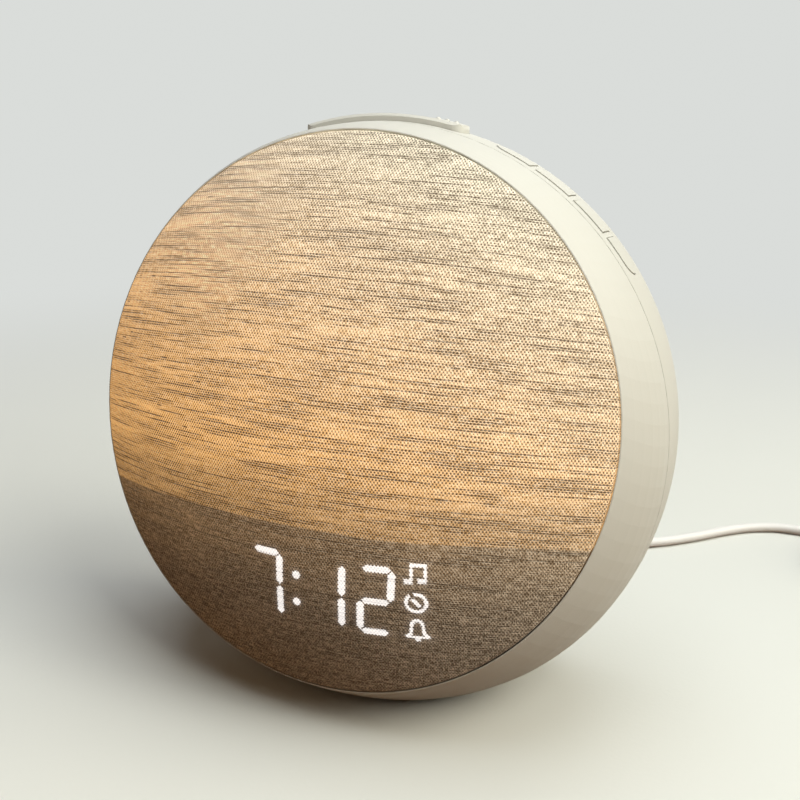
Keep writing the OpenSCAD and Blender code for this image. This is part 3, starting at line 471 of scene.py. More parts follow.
@dataclass(frozen=True)
class LitFigures:
    """The lit strokes, dots and signs, in millimetres on the plane of the figures."""

    time: str = " 712"
    height: float = 21.4
    width: float = 8.9
    line: float = 2.2
    rest: float = 0.5
    pitch: float = 14.6
    colon: float = 5.5
    shift: float = -1.2
    slant: float = 4.0
    dot: float = 2.6
    sign_x: float = 35.25
    sign_z: tuple[float, float, float] = (10.0, 0.8, -8.8)
    sign_line: float = 1.1
    lean: float = -5.968
    dot_rise: float = 0.22

    def place(self) -> LeaningPlace:
        """The plane that touches the dome at the middle of the figures."""
        middle = FACE.world(np.array([0.0, DOME_RADIUS - FACE_CROWN, 0.0]))
        lean = math.radians(self.lean)
        reach = DOME_RADIUS * np.array([0.0, -math.cos(lean), math.sin(lean)])
        return LeaningPlace(origin=tuple(middle + reach), lean=self.lean)

    @staticmethod
    def _bar(x: Level, z: Level, middle: Sequence[float], size: Sequence[float]) -> Level:
        """Distance outside a rectangle: the larger of the overshoots across and up."""
        across = abs(x - middle[0]) - size[0] / 2.0
        return across.most(abs(z - middle[1]) - size[1] / 2.0)

    def _stroke(self, x: Level, z: Level, middle: Sequence[float], flat: bool) -> Level:
        """Distance outside a stroke with pointed ends.

        It is the larger of the overshoot over half the width and of the sum of both
        offsets over half the length, which makes each end a right-angled point.
        """
        length = (self.width if flat else self.height / 2.0) - self.rest
        dx, dz = abs(x - middle[0]), abs(z - middle[1])
        side = dz if flat else dx
        return (side - self.line / 2.0).most(dx + dz - length / 2.0)

    @staticmethod
    def _from(x: Level, z: Level, middle: Sequence[float]) -> Level:
        """Distance from a point."""
        dx, dz = x - middle[0], z - middle[1]
        return (dx * dx + dz * dz) ** 0.5

    @staticmethod
    def _turned(x: Level, z: Level, degrees: float) -> tuple[Level, Level]:
        """Coordinates turned by an angle about the origin."""
        c, s = math.cos(math.radians(degrees)), math.sin(math.radians(degrees))
        return x * c + z * s, z * c - x * s

    def _note(self, x: Level, z: Level) -> Level:
        """Two joined notes: a beam, two stems and two heads."""
        made = self._bar(x, z, (0.75, 3.0), (4.7, self.sign_line))
        for stem, head in ((-1.2, -2.3), (2.7, -1.9)):
            made = made.least(self._bar(x, z, (stem, 0.5), (0.85, 5.0)))
            made = made.least(self._bar(x, z, (stem - 0.9, head), (2.5, 1.6)))
        return made

    def _timer(self, x: Level, z: Level) -> Level:
        """A ring that is open at its upper left, and a hand in it."""
        half = self.sign_line / 2.0
        ring = abs(self._from(x, z, (0.0, 0.0)) - (3.42 - half)) - half
        gx, gz = self._turned(x, z, 115.0)
        ring = ring.most(self._bar(gx, gz, (3.0, 0.0), (4.0, 1.2)) * -1.0)
        hx, hz = self._turned(x, z, -46.0)
        return ring.least(self._bar(hx, hz, (0.0, 0.0), (3.4, 1.2)))

    def _bell(self, x: Level, z: Level) -> Level:
        """Outline of a bell: an arch, sides that lean out, feet, a base and a clapper."""
        half = self.sign_line / 2.0
        arch = abs(self._from(x, z, (0.0, 2.0)) - (2.1 - half)) - half
        arch = arch.most(2.0 - z)
        down, out = self._turned(abs(x) - 1.75, z - 0.5, -83.7)
        made = arch.least(self._bar(down, out, (0.0, 0.0), (3.6, 0.95)))
        down, out = self._turned(abs(x) - 2.55, z + 1.65, -40.0)
        made = made.least(self._bar(down, out, (0.0, 0.0), (2.2, 0.95)))
        made = made.least(self._bar(x, z, (0.0, -2.35), (6.0, 0.7)))
        return made.least(self._from(x, z, (0.0, -2.9)) - 0.95)

    def distance(self, g: Graph) -> Level:
        """Distance outside the nearest lit shape, in millimetres, below 0 inside it."""
        x, z, _ = g.split(g.stretched(g.uv("figures"), (1000.0, 1000.0, 1.0)))
        sheared = x - z * math.tan(math.radians(self.slant))
        half = (self.pitch + self.colon) / 2.0
        starts = (-half - self.pitch, -half, half, half + self.pitch)
        found: list[Level] = []
        for figure, start in zip(self.time, starts):
            for stroke in STROKES_OF[figure]:
                flat, across, up = stroke.value
                middle = (
                    start + self.shift + across * self.width / 2.0,
                    up * self.height / 2.0,
                )
                found.append(self._stroke(sheared, z, middle, flat))
        for up in (-1.0, 1.0):
            dot = self._from(sheared, z, (self.shift, up * self.height * self.dot_rise))
            found.append(dot - self.dot / 2.0)
        sx = x - self.sign_x
        for sign, up in zip((self._note, self._timer, self._bell), self.sign_z):
            found.append(sign(sx, z - up))
        return reduce(Level.least, found)


@dataclass(frozen=True)
class Patches:
    """Noise over the cloth, with its own fineness across and up."""

    waves: tuple[float, float]
    shift: float = 0.0
    detail: float = 2.0
    rough: float = 0.5

    def level(self, g: Graph, where: bpy.types.NodeSocket) -> Level:
        """The noise at a place on the cloth, 0 to 1."""
        scaled = g.stretched(where, (*self.waves, 1.0), self.shift)
        return g.noise(scaled, 1.0, self.detail, self.rough)


@dataclass(frozen=True)
class Streaks:
    """Noise that runs along one weft row and is another one in the next row."""

    length: float
    apart: float
    detail: float
    span: tuple[float, float]

    def level(self, g: Graph, x: Level, row: Level) -> Level:
        """How strong the streak is: 0 below the span and 1 above it."""
        found = g.noise(g.joined(x / self.length, row * self.apart), 1.0, self.detail)
        return found.ramp(*self.span)


@dataclass(frozen=True)
class WovenLinen(Surface):
    """Plain linen weave over the lamp above and the dark mask below.

    Lengths are metres, those of the figures' edge and halo are millimetres, and
    fineness is waves in a metre. The weights say what each part adds to the weave's
    darkness and, in the body's, to its own colour. The weave's darkness is painted
    shade in the hollows between threads together with the threads' uneven tone.
    """

    name: str = "woven_linen"
    weft: float = 0.00070
    warp: float = 0.00051
    thread: Colour = (0.92, 0.82, 0.69)
    # Colour of the painted shade in the hollows between threads.
    hollow_shade: Colour = (0.15, 0.11, 0.07)
    wander: Patches = Patches((14.0, 40.0))
    shiver: Patches = Patches((160.0, 500.0), 3.0, 1.0)
    warp_astray: tuple[float, float] = (1.5, 0.5)
    weft_astray: tuple[float, float] = (2.2, 0.35)
    clouds: Patches = Patches((30.0, 170.0), 11.0, 3.0, 0.6)
    pale_weft: Patches = Patches((330.0, 2700.0), 5.0)
    pale_weft_span: tuple[float, float] = (0.42, 0.70)
    pale_warp: Patches = Patches((3300.0, 380.0), 8.0)
    pale_warp_span: tuple[float, float] = (0.44, 0.72)
    fuzz: float = 2400.0
    thick: Streaks = Streaks(0.022, 5.31, 2.0, (0.36, 0.68))
    slub: Streaks = Streaks(0.0065, 7.77, 1.0, (0.70, 0.80))
    dot_weights: tuple[float, float, float] = (1.02, 0.75, 1.4)
    line_weights: tuple[float, float, float, float] = (0.06, 0.92, 0.8, 0.6)
    fine_weights: tuple[float, float] = (0.25, 0.25)
    body_weights: tuple[float, float, float, float] = (0.33, 1.10, 0.70, 1.1)
    lamp: Colour = (0.503, 0.250, 0.064)
    lamp_pale: Colour = (0.010, 0.289, 0.361)
    tint: tuple[float, float, float] = (0.114, 0.134, 0.310)
    fall: tuple[float, float, float] = (0.061, -0.086, 0.149)
    through_thread: Colour = (1.92, 1.95, 2.02)
    # The glow where the weave is dark: painted shade on the lit cloth.
    through_shade: Colour = (0.04, 0.01, 0.0)
    half_width: float = 0.08
    lit_edge: float = -0.0301
    edge_rise: float = 0.0027
    edge_bend: tuple[float, float] = (0.020, 0.075)
    edge_soft: float = 0.0006
    foot: float = 0.024
    foot_level: float = 0.46
    spill: float = 0.15
    spill_reach: float = 0.040
    figure_light: Colour = (0.97, 0.94, 0.92)
    figure_fray: tuple[float, float] = (0.5, 0.35)
    figure_edge: tuple[float, float] = (-0.22, 0.20)
    figure_level: float = 1.02
    figure_shade: float = 0.30
    halo_level: float = 0.03
    halo_reach: float = 3.0
    figures: LitFigures = LitFigures()

    def _threads(self, g: Graph) -> tuple[Level, Level, Level]:
        """The weave: how dark each point is, and how pale its threads are.

        With u warp threads across and v weft rows up, both led astray a little, the gap
        between two rows is (1 + cos 2 pi v) / 2, and the dark point in it, where a warp
        thread dives, is (1 - cos pi u cos pi v) / 2. Both are squared, and both are painted
        shade in the hollows of the weave. Every row is counted, so streaks run along it,
        and clouds make the weave uneven.

        Returns:
            The darkness, which is painted shade at the gaps and dives plus the threads' uneven
            tone, the paleness of single threads and fine fuzz, each about 0 to 1.
        """
        where = g.uv("threads")
        x, z, _ = g.split(where)
        wander = self.wander.level(g, where) - 0.5
        shiver = self.shiver.level(g, where) - 0.5
        far, near = self.warp_astray
        u = x / self.warp + wander * far + shiver * near
        far, near = self.weft_astray
        v = z / self.weft + wander * far + shiver * near
        gap = (v * TURN).cos() * 0.5 + 0.5
        point = 0.5 - (u * math.pi).cos() * (v * math.pi).cos() * 0.5
        row = (v + 0.5).floor()
        thick = self.thick.level(g, x, row)
        slub = self.slub.level(g, x, row)
        cloud = self.clouds.level(g, where) - 0.5
        fuzz = g.noise(where, self.fuzz, 2.0, 0.6)
        plain, by_thick, by_cloud = self.dot_weights
        dots = point * point * (plain + thick * by_thick + cloud * by_cloud)
        plain, by_thick, by_cloud, by_slub = self.line_weights
        uneven = thick * thick * by_thick + plain + slub * by_slub + cloud * by_cloud
        by_slub, by_fuzz = self.fine_weights
        # Painted shade in the gaps and dives, plus the uneven tone of streaks, slubs, clouds and
        # fuzz.
        dark = dots + gap * gap * uneven + slub * by_slub + (fuzz - 0.5) * by_fuzz
        weft = self.pale_weft.level(g, where).ramp(*self.pale_weft_span)
        warp = self.pale_warp.level(g, where).ramp(*self.pale_warp_span)
        return dark.held(), weft.most(warp), fuzz

    def _lamp(self, g: Graph, dark: Level, fuzz: Level) -> bpy.types.NodeSocket:
        """The lamp's light that comes through the cloth above the divider.

        With X and Z as shares of the face's half width, its tint is a smooth step of a
        plane, t0 + t1 X + t2 Z, and its strength is 1 + f0 X + f1 Z + f2 Z^2, which falls
        off towards the divider. A little of it spills below the divider in the cloth.
        `dark` is the weave's darkness, partly painted shade, which also darkens the glow, and
        `fuzz` frays the edge.
        """
        fx, fz, _ = g.split(g.uv("lamp"))
        above = fz - self.lit_edge - fx.ramp(*self.edge_bend) * self.edge_rise
        soft = self.edge_soft
        edge = (above + (fuzz - 0.5) * soft).ramp(-0.0005, soft)
        sx, sz = fx / self.half_width, fz / self.half_width
        t0, t1, t2 = self.tint
        f0, f1, f2 = self.fall
        foot = above.ramp(0.0, self.foot) * (1.0 - self.foot_level) + self.foot_level
        strength = (sx * f0 + sz * (sz * f2 + f1) + 1.0) * foot
        tint = (sx * t1 + sz * t2 + t0).ramp(0.0, 1.0)
        spill = 1.0 - (above * -1.0).ramp(-0.1 * self.spill_reach, self.spill_reach)
        level = (edge * strength).most(spill * spill * self.spill)
        glow = g.times(g.blend(tint, self.lamp, self.lamp_pale), level)
        # The glow is darkened where the weave is dark: painted shade between the threads on the
        # lit cloth.
        return g.colours("MULTIPLY", glow, g.blend(dark, self.through_thread, self.through_shade))

    def sockets(self, g: Graph) -> Sockets:
        """The woven threads, with the lamp and the figures glowing through them."""
        dark, pale, fuzz = self._threads(g)
        plain, by_pale, by_dark, by_fuzz = self.body_weights
        body = (plain + pale * by_pale - dark * by_dark + (fuzz - 0.5) * by_fuzz).held()
        lamp = self._lamp(g, dark, fuzz)
        by_fuzz, by_dark = self.figure_fray
        away = self.figures.distance(g) + (fuzz - 0.5) * by_fuzz + (dark - 0.4) * by_dark
        lit = 1.0 - away.ramp(*self.figure_edge)
        halo = 1.0 - away.ramp(0.0, self.halo_reach)
        white = lit * (self.figure_level - dark * self.figure_shade)
        white = white + halo * halo * self.halo_level
        total = g.colours("ADD", lamp, g.times(self.figure_light, white))
        return {
            # The threads' colour, darkened towards the hollow colour by painted shade between
            # threads and by their uneven tone.
            "Base Color": g.blend(body, self.hollow_shade, self.thread),
            "Roughness": 0.92,
            "Specular IOR Level": 0.15,
            "Sheen Weight": 0.25,
            "Sheen Roughness": 0.6,
            "Emission Color": total,
            "Emission Strength": 1.0,
            "Normal": g.bump(1.0 - dark, 0.00016, 0.8),
        }


# -------------------- meshes
def grid_object(
    name: str,
    points: np.ndarray,
    closed: tuple[bool, bool] = (False, False),
    maps: Mapping[str, np.ndarray] | None = None,
) -> bpy.types.Object:
    """Puts a surface of two parameters into a mesh.

    Each cell of the grid becomes one face; a closed parameter joins its last row of
    points to its first.

    Args:
        name: Name of the piece.
        points: Points by first and second parameter, in metres.
        closed: Whether each parameter comes round to its start.
        maps: For each UV map, a pair of numbers at every point.

    Returns:
        The smooth-shaded object.
    """
    rows, columns = points.shape[:2]
    i = np.arange(rows if closed[0] else rows - 1)
    j = np.arange(columns if closed[1] else columns - 1)
    a, b = np.meshgrid(i, j, indexing="ij")
    a2, b2 = (a + 1) % rows, (b + 1) % columns
    faces = np.stack(
        [a * columns + b, a * columns + b2, a2 * columns + b2, a2 * columns + b], axis=-1
    ).reshape(-1, 4)
    mesh = bpy.data.meshes.new(name)
    mesh.from_pydata(points.reshape(-1, 3).tolist(), [], faces.tolist())
    for map_name, pairs in (maps or {}).items():
        layer = mesh.uv_layers.new(name=map_name)
        layer.data.foreach_set("uv", pairs.reshape(-1, 2)[faces.ravel()].ravel())
    mesh.polygons.foreach_set("use_smooth", np.ones(len(faces), bool))
    mesh.update()
    made = bpy.data.objects.new(name, mesh)
    bpy.context.scene.collection.objects.link(made)
    return made


def swept_tube(
    name: str, path: np.ndarray, radius: np.ndarray, sides: int, map_name: str
) -> bpy.types.Object:
    """Carries a circle along a path.

    At each point the circle lies square to the path, with its first axis level: side =
    direction x up, and the other axis = side x direction. The UV map holds the length
    run so far, in metres, and the share of the way round.

    Args:
        name: Name of the piece.
        path: Points of the centre line.
        radius: Radius at each point.
        sides: Points round the circle.
        map_name: Name of the UV map.

    Returns:
        The tube, closed at both ends.
    """
    ahead = np.gradient(path, axis=0)
    ahead /= np.linalg.norm(ahead, axis=1, keepdims=True)
    side = np.cross(ahead, np.array([0.0, 0.0, 1.0]))
    side /= np.linalg.norm(side, axis=1, keepdims=True)
    rise = np.cross(side, ahead)
    turn = np.linspace(0.0, TURN, sides + 1)
    cos, sin = np.cos(turn)[None, :, None], np.sin(turn)[None, :, None]
    ring = cos * side[:, None] + sin * rise[:, None]
    points = path[:, None] + radius[:, None, None] * ring
    run = np.concatenate([[0.0], np.cumsum(np.linalg.norm(np.diff(path, axis=0), axis=1))])
    pairs = np.stack(np.broadcast_arrays(run[:, None], turn[None] / TURN), axis=-1)
    made = grid_object(name, points, maps={map_name: pairs})
    weld(made)
    return made


def weld(made: bpy.types.Object, close: bool = True) -> None:
    """Joins points that lie on each other and turns the faces outwards.

    Args:
        made: A surface whose seams and poles are still open.
        close: Whether its open rims are filled. Without it the surface is a skin whose
            outside is the side that its front shows.
    """
    b = bmesh.new()
    b.from_mesh(made.data)
    bmesh.ops.remove_doubles(b, verts=b.verts, dist=1e-7)
    if close:
        rims = [e for e in b.edges if e.is_boundary]
        bmesh.ops.holes_fill(b, edges=rims, sides=0)
    bmesh.ops.recalc_face_normals(b, faces=b.faces)
    front = min(b.verts, key=lambda v: v.co.y)
    if not close and front.link_faces[0].normal.y > 0.0:
        bmesh.ops.reverse_faces(b, faces=b.faces)
    b.to_mesh(made.data)
    b.free()


def dress(made: bpy.types.Object, material: bpy.types.Material) -> None:
    """Gives every face of `made` the same material."""
    made.data.materials.clear()
    made.data.materials.append(material)


# -------------------- linen face
@dataclass
class LinenFace:
    """The linen skin that is stretched over the dome and turned down at its edge."""

    radius: float = FACE_RADIUS
    shoulder: float = 0.0009
    skirt: float = 0.0043
    cloth: float = 0.0005
    rings: int = 96
    spokes: int = 224

    def outline(self) -> tuple[np.ndarray, np.ndarray]:
        """Half the face's outline: its distance from the axis and its depth.

        The dome is an arc of one sphere. The shoulder is a small arc that meets it
        without a corner, and the skirt runs straight back from there.

        Returns:
            The radius and the depth of each point from the middle to the hem.
        """
        sphere, back = DOME_RADIUS, DOME_RADIUS - FACE_CROWN
        mid_r = self.radius - self.shoulder
        mid_y = back - math.sqrt((sphere - self.shoulder) ** 2 - mid_r**2)
        start = math.asin(mid_r / (sphere - self.shoulder))
        swing = np.linspace(0.0, start, self.rings)
        dome_r, dome_y = sphere * np.sin(swing), back - sphere * np.cos(swing)
        turn = np.linspace(start - math.pi / 2.0, 0.0, 6)[1:]
        edge_r, edge_y = mid_r + self.shoulder * np.cos(turn), mid_y + self.shoulder * np.sin(turn)
        hem = np.linspace(mid_y, self.skirt, 4)[1:]
        r = np.concatenate([dome_r, edge_r, np.full(3, self.radius)])
        return r, np.concatenate([dome_y, edge_y, hem])

    def build(self, finish: WovenLinen) -> None:
        """Revolves the outline about the face's axis and dresses it.

        The threads' UV map is the way along the cloth from the middle, laid out in the
        direction of each spoke, so threads keep their pitch on the dome.
        """
        r, depth = self.outline()
        along = np.concatenate([[0.0], np.cumsum(np.hypot(np.diff(r), np.diff(depth)))])
        turn = np.linspace(0.0, TURN, self.spokes + 1)
        sin, cos = np.sin(turn), np.cos(turn)
        deep = np.broadcast_to(depth[:, None], (len(r), len(turn)))
        flat = np.stack([r[:, None] * sin, deep, r[:, None] * cos], axis=-1)
        points = FACE.world(flat)
        seen = finish.figures.place().local(points)
        maps = {
            "threads": np.stack([along[:, None] * sin, along[:, None] * cos], axis=-1),
            "lamp": flat[..., [0, 2]],
            "figures": seen[..., [0, 2]],
        }
        made = grid_object("linen_skin", points, maps=maps)
        weld(made, close=False)
        thick = made.modifiers.new("cloth", "SOLIDIFY")
        thick.thickness = self.cloth
        thick.offset = -1.0
        dress(made, finish.material())
        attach(made, BODY)
        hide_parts("linen_face")


# -------------------- lead
@dataclass
class Lead:
    """The low-voltage lead: its free run, its coil and its tail to the far plug."""

    diameter: float = 0.0042
    sides: int = 16
    middle: tuple[float, float] = (0.180, 0.146)
    lanes: tuple[float, float, float] = (0.0262, 0.0220, 0.0178)
    floor: float = 0.0021
    turns: float = 8.35
    turn_points: int = 40
    step: float = 0.002

    def free_run(self) -> np.ndarray:
        """The listed points from the strain relief to the coil, in metres."""
        return np.array([
            (38, 72.70, 36.63), (38, 84, 35.6), (38, 94, 32), (39, 103, 25), (42, 111, 16),
            (47, 118, 8), (54, 123, 3.4), (62, 127, 2.1), (72, 132, 2.1), (82, 139, 2.1),
            (92, 148, 2.1), (102, 158, 2.1), (112, 166, 2.1), (123, 171, 2.1),
            (134, 172, 2.1), (146, 172, 2.1), (157, 172, 2.1), (168, 172, 2.1),
        ]) / 1000.0

    def coil(self) -> np.ndarray:
        """Points of the wound turns.

        Each turn keeps to one lane and one layer for most of the way round. Over a
        short stretch it slips to the next lane, and over the stretch after it climbs
        to the next layer, always by one diameter along a smooth step. Seen from above,
        the turns run clockwise from the top of the coil.
        """
        d = self.diameter
        inward, outward = self.lanes, self.lanes[::-1]
        radius = np.array([*inward, *outward, *inward[:2], inward[2], inward[2]])
        height = self.floor + d * np.array([0, 0, 0, 1, 1, 1, 2, 2, 2, 2], float)
        at = np.arange(0.0, self.turns, 1.0 / self.turn_points)
        which = at.astype(int)
        share = at - which
        slip = smooth((share - 0.70) / 0.15)
        climb = smooth((share - 0.85) / 0.15)
        r = radius[which] + (radius[which + 1] - radius[which]) * slip
        z = height[which] + (height[which + 1] - height[which]) * climb
        angle = math.pi / 2.0 - TURN * at
        x = self.middle[0] + r * np.cos(angle)
        y = self.middle[1] + r * np.sin(angle)
        return np.stack([x, y, z], axis=1)

    def tail(self) -> np.ndarray:
        """Listed points over the coil's top and round to the far plug."""
        return np.array([
            (187, 128.3, 12.4), (179, 125.5, 14.5), (169, 127.5, 15.0), (160, 135, 15.0),
            (156, 146, 15.0), (159, 158, 15.0), (168, 168, 15.0), (180, 173.5, 14.6),
            (193, 172.5, 12.6), (203, 166, 9.0), (208.6, 156, 5.5), (209.4, 146, 4.2),
            (209, 136, 4.0), (207.5, 126.5, 4.0), (203, 117.5, 4.0), (196.5, 112, 4.0),
            (189, 110.1, 4.0),
        ]) / 1000.0

    def path(self) -> np.ndarray:
        """The whole centre line, evenly spaced.

        The listed points are joined by a curve whose slope at each point is half the
        step between its neighbours; that line is then walked in equal steps.

        Returns:
            Points about 2 mm apart.
        """
        line = through(np.concatenate([self.free_run(), self.coil(), self.tail()]), 8)
        run = np.concatenate([[0.0], np.cumsum(np.linalg.norm(np.diff(line, axis=0), axis=1))])
        steps = np.linspace(0.0, run[-1], int(run[-1] / self.step))
        return np.stack([np.interp(steps, run, line[:, k]) for k in range(3)], axis=1)

    def build(self, jacket: LeadJacket, tape: HookTape) -> None:
        path = self.path()
        radius = np.full(len(path), self.diameter / 2.0)
        made = swept_tube("lead", path, radius, self.sides, "jacket")
        dress(made, jacket.material())
        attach(made, BODY)
        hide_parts("lead_tube", "lead_coil")
        tie = self.tie(tape)

    def tie(self, tape: HookTape) -> bpy.types.Object:
        """Makes the tape that holds the turns together.

        Its section is a rectangle with round corners about the bundle of turns, carried
        a short way along the coil.
        """
        half, corner, thick, wide = 0.0066, 0.0026, 0.0008, 0.009
        taller, middle_z, lowest, place = 0.0008, 0.0072, 0.0002, math.pi * 1.06
        turn = np.linspace(0.0, TURN, 48, endpoint=False)
        cx, cz = np.cos(turn), np.sin(turn)
        inner = np.stack([np.sign(cx) * (half - corner) + corner * cx,
                          np.sign(cz) * (half + taller - corner) + corner * cz], axis=1)
        outer = inner + thick * np.stack([cx, cz], axis=1)
        swing = np.linspace(-wide / 2.0, wide / 2.0, 5) / self.lanes[1]
        loops = []
        for ring, angles in ((inner, swing), (outer, swing[::-1])):
            r = self.lanes[1] + ring[:, 0]
            for a in angles + place:
                loops.append(np.stack([
                    self.middle[0] + r * math.cos(a), self.middle[1] + r * math.sin(a),
                    np.maximum(ring[:, 1] + middle_z, lowest)], axis=1))
        points = np.stack(loops)
        made = grid_object("coil_tie", points, closed=(True, True))
        weld(made)
        dress(made, tape.material())
        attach(made, BODY)
        return made


def smooth(share: np.ndarray) -> np.ndarray:
    """The smooth step 3s^2 - 2s^3 of a share held between 0 and 1."""
    s = np.clip(share, 0.0, 1.0)
    return s * s * (3.0 - 2.0 * s)


def through(points: np.ndarray, steps: int) -> np.ndarray:
    """A smooth curve through points.

    Between two points it is the cubic whose slope at each end is half the step between
    that end's neighbours, cut into `steps` pieces.
    """
    before = np.concatenate([points[:1], points[:-2]])
    start, end = points[:-1], points[1:]
    after = np.concatenate([points[2:], points[-1:]])
    t = (np.arange(steps) / steps)[:, None, None]
    curve = 0.5 * (
        2.0 * start + t * (end - before)
        + t**2 * (2.0 * before - 5.0 * start + 4.0 * end - after)
        + t**3 * (3.0 * start - before - 3.0 * end + after)
    )
    return np.concatenate([curve.transpose(1, 0, 2).reshape(-1, 3), points[-1:]])


# -------------------- body and inside
class Finish(Enum):
    """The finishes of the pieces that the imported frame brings."""

    SHELL = Moulded("shell_plastic", (0.755, 0.757, 0.715), roughness=0.52, grain=0.00042,
                    depth=0.000022, mottle=0.012)
    KEY = Moulded("key_plastic", (0.755, 0.757, 0.715), roughness=0.48, grain=0.0004,
                  depth=0.000016, mottle=0.012)
    DOME = Moulded("dome_plastic", (0.86, 0.85, 0.82), roughness=0.6, clear=0.2)
    MASK = Moulded("mask_plastic", (0.035, 0.035, 0.036), roughness=0.7)
    GUIDE = Moulded("guide_plastic", (0.88, 0.88, 0.88), roughness=0.25, clear=0.6)
    LINER = Moulded("liner_plastic", (0.84, 0.84, 0.83), roughness=0.55)
    LAMP_BOARD = Moulded("lamp_board_coat", (0.82, 0.82, 0.81), roughness=0.4)
    CHIP = Moulded("chip_resin", (0.85, 0.68, 0.22), roughness=0.2, gloss=0.6)
    COMPONENT = Moulded("component_resin", (0.018, 0.018, 0.019), roughness=0.45)
    BOARD = CircuitBoard()
    SCREW = Metal("screw_steel", (0.60, 0.59, 0.57), roughness=0.34)
    PLATED = Metal("plated_shell", (0.74, 0.73, 0.71), roughness=0.24)
    CELL = Metal("cell_steel", (0.70, 0.69, 0.67), roughness=0.3)
    BASKET = Metal("basket_steel", (0.42, 0.42, 0.41), roughness=0.42)
    MAGNET = Metal("magnet_steel", (0.30, 0.30, 0.31), roughness=0.5)
    CONE = PressedPaper()
    SURROUND = SoftRubber("surround_rubber", (0.02, 0.02, 0.02), pore=0.0008)
    FOOT = SoftRubber("foot_rubber", (0.22, 0.22, 0.21))
    PLUG = Moulded("plug_plastic", (0.80, 0.80, 0.79), roughness=0.42, grain=0.0006)


PIECES: dict[Finish, tuple[str, ...]] = {
    Finish.SHELL: ("front_shell", "rear_shell"),
    Finish.KEY: ("tap_bar", "key_sound", "key_light", "key_timer", "key_alarm"),
    Finish.DOME: ("diffuser_dome",),
    Finish.MASK: ("figure_mask",),
    Finish.GUIDE: ("light_guides",),
    Finish.LINER: ("reflector", "divider"),
    Finish.LAMP_BOARD: ("lamp_board",),
    Finish.CHIP: ("lamp_chips", "figure_leds"),
    Finish.COMPONENT: ("bar_switches", "key_switches", "board_parts", "power_jack"),
    Finish.BOARD: ("figure_board", "bar_board", "key_board", "main_board", "jack_board"),
    Finish.SCREW: ("figure_screws", "reflector_screws", "control_screws", "board_screws",
                   "speaker_screws", "shell_screws"),
    Finish.PLATED: ("plug_barrel", "end_plug_shell"),
    Finish.CELL: ("backup_cell",),
    Finish.BASKET: ("speaker_frame",),
    Finish.MAGNET: ("speaker_magnet",),
    Finish.CONE: ("speaker_cone",),
    Finish.SURROUND: ("speaker_surround", "speaker_gasket"),
    Finish.FOOT: ("feet",),
    Finish.PLUG: ("plug_grip", "end_plug"),
}


@dataclass
class ClockBody:
    """The pieces that come ready-made from the frame."""

    nodes: dict[str, bpy.types.Object]

    def dress(self) -> None:
        """Gives each piece the material of its finish."""
        for finish, names in PIECES.items():
            material = finish.value.material()
            for name in names:
                dress(self.nodes[name], material)
            log.info("%s: %s", material.name, ", ".join(names))


# -------------------- studio
@dataclass(frozen=True)
class SoftLamp:
    """A square lamp that looks at the middle of the clock."""

    name: str
    place: tuple[float, float, float]
    size: float
    power: float
    colour: Colour
    aim: tuple[float, float, float] = (0.0, 0.0, 0.09)

    def hang(self) -> None:
        """Puts the lamp into the scene."""
        data = bpy.data.lights.new(self.name, "AREA")
        data.size = self.size
        data.energy = self.power
        data.color = self.colour
        made = bpy.data.objects.new(self.name, data)
        made.location = self.place
        look = Vector(self.aim) - Vector(self.place)
        made.rotation_euler = look.to_track_quat("-Z", "Y").to_euler()
        bpy.context.scene.collection.objects.link(made)


LAMPS = (
    SoftLamp("window", (1.2, -0.4, 1.3), 1.0, 17.0, (1.0, 0.98, 0.87)),
    SoftLamp("side", (1.5, 0.2, 1.0), 1.0, 12.0, (1.0, 0.94, 0.74)),
    SoftLamp("sky", (0.1, 0.05, 1.7), 1.4, 15.5, (0.94, 0.98, 1.0)),
    SoftLamp("room", (-0.9, -1.1, 1.0), 1.4, 1.8, (1.0, 0.64, 0.38)),
    SoftLamp("back", (-0.4, 1.6, 0.42), 1.2, 3.6, (1.0, 1.0, 0.98)),
)


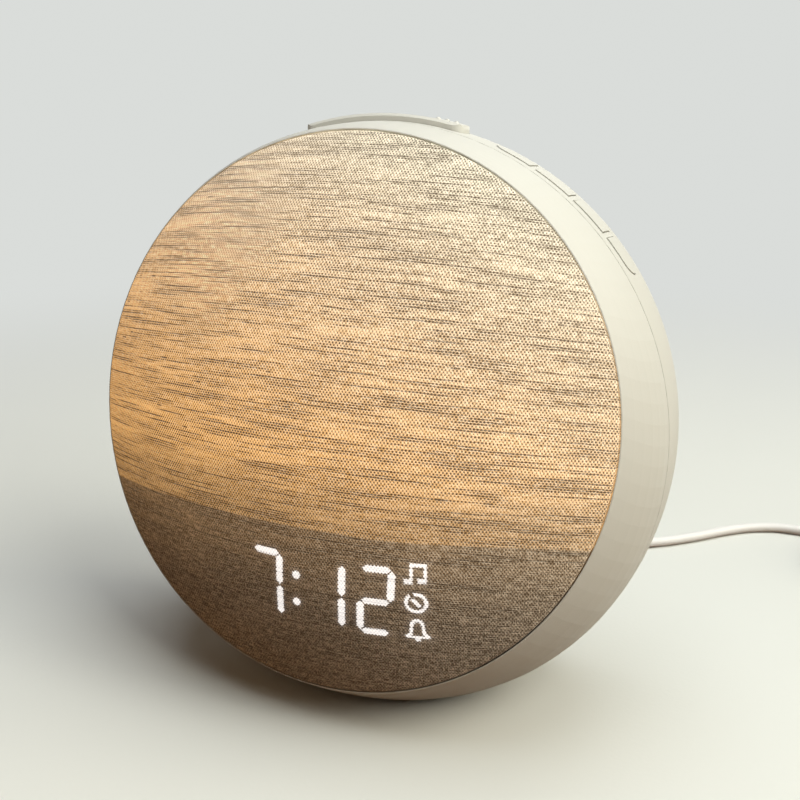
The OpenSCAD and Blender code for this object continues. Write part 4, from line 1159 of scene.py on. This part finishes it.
@dataclass
class Studio:
    """Floor, backdrop colour, lamps and camera."""

    eye: tuple[float, float, float] = (0.130507, -0.275856, 0.195456)
    down: float = 17.8
    aside: float = 23.3
    lens: float = 45.0
    backdrop: Colour = (0.70, 0.72, 0.70)
    ambient: Colour = (0.034, 0.026, 0.016)
    bounce: Colour = (0.13, 0.055, 0.010)
    floor_r: float = 3.0
    fade: tuple[float, float] = (0.16, 0.75)

    def camera(self) -> None:
        """Sets the camera up and makes it the scene's own."""
        data = bpy.data.cameras.new("eye")
        data.lens = self.lens
        data.sensor_width = 36.0
        data.clip_start = 0.01
        made = bpy.data.objects.new("eye", data)
        made.location = self.eye
        made.rotation_euler = (
            math.radians(90.0 - self.down), 0.0, math.radians(self.aside)
        )
        bpy.context.scene.collection.objects.link(made)
        bpy.context.scene.camera = made

    def floor(self) -> None:
        """Lays a round pale floor that fades into the backdrop.

        Rings of points grow in even steps of their logarithm, from the middle out.
        """
        r = np.concatenate([[0.0], np.geomspace(0.02, self.floor_r, 40)])
        turn = np.linspace(0.0, TURN, 97)
        points = np.stack([r[:, None] * np.sin(turn), r[:, None] * np.cos(turn),
                           np.zeros((len(r), len(turn)))], axis=-1)
        made = grid_object("floor", points)
        g = Graph("floor_paint")
        where = g.place()
        x, y, _ = g.split(where)
        far = ((x * x + y * y) ** 0.5).ramp(*self.fade)
        seen = g.rays("Camera", "Glossy", "Transmission")
        cloud = g.noise(where, 9.0, 3.0)
        pale = g.times(self.backdrop, 1.12 + cloud * 0.04)
        paint = g.node(
            "ShaderNodeBsdfPrincipled", None,
            {"Base Color": g.blend(seen, self.bounce, pale), "Roughness": 0.8,
             "Specular IOR Level": 0.2,
             "Normal": g.bump(g.noise(where, 700.0, 3.0), 0.00004)},
        )
        haze = g.node(
            "ShaderNodeEmission", None, {"Color": self.backdrop, "Strength": 1.0}
        )
        both = g.node(
            "ShaderNodeMixShader", None,
            {0: far * seen, 1: paint.outputs[0], 2: haze.outputs[0]},
        )
        g.node("ShaderNodeOutputMaterial", None, {"Surface": both.outputs[0]})
        dress(made, g.owner)

    def world(self) -> None:
        """Fills the surroundings: pale where they are seen, softer as light."""
        g = Graph("surroundings", world=True)
        light = g.node("ShaderNodeBackground", None, {"Color": self.ambient})
        view = g.node("ShaderNodeBackground", None, {"Color": self.backdrop})
        mix = g.node(
            "ShaderNodeMixShader", None,
            {0: g.rays("Camera", "Transmission"), 1: light.outputs[0], 2: view.outputs[0]},
        )
        g.node("ShaderNodeOutputWorld", None, {"Surface": mix.outputs[0]})
        bpy.context.scene.world = g.owner

    def set_up(self) -> None:
        """Makes the floor, the surroundings and the lamps."""
        self.floor()
        self.world()
        for lamp in LAMPS:
            lamp.hang()


def main() -> None:
    """Loads the frame, adds the soft pieces, dresses everything and lights it."""
    logging.basicConfig(level=logging.INFO, format="%(name)s: %(message)s")
    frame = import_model()
    studio = Studio()
    studio.camera()
    Lead().build(LeadJacket(), HookTape())
    LinenFace().build(WovenLinen())
    ClockBody(frame["nodes"]).dress()
    studio.set_up()
    bpy.context.scene.view_settings.view_transform = "Standard"


if __name__ == "__main__":
    main()
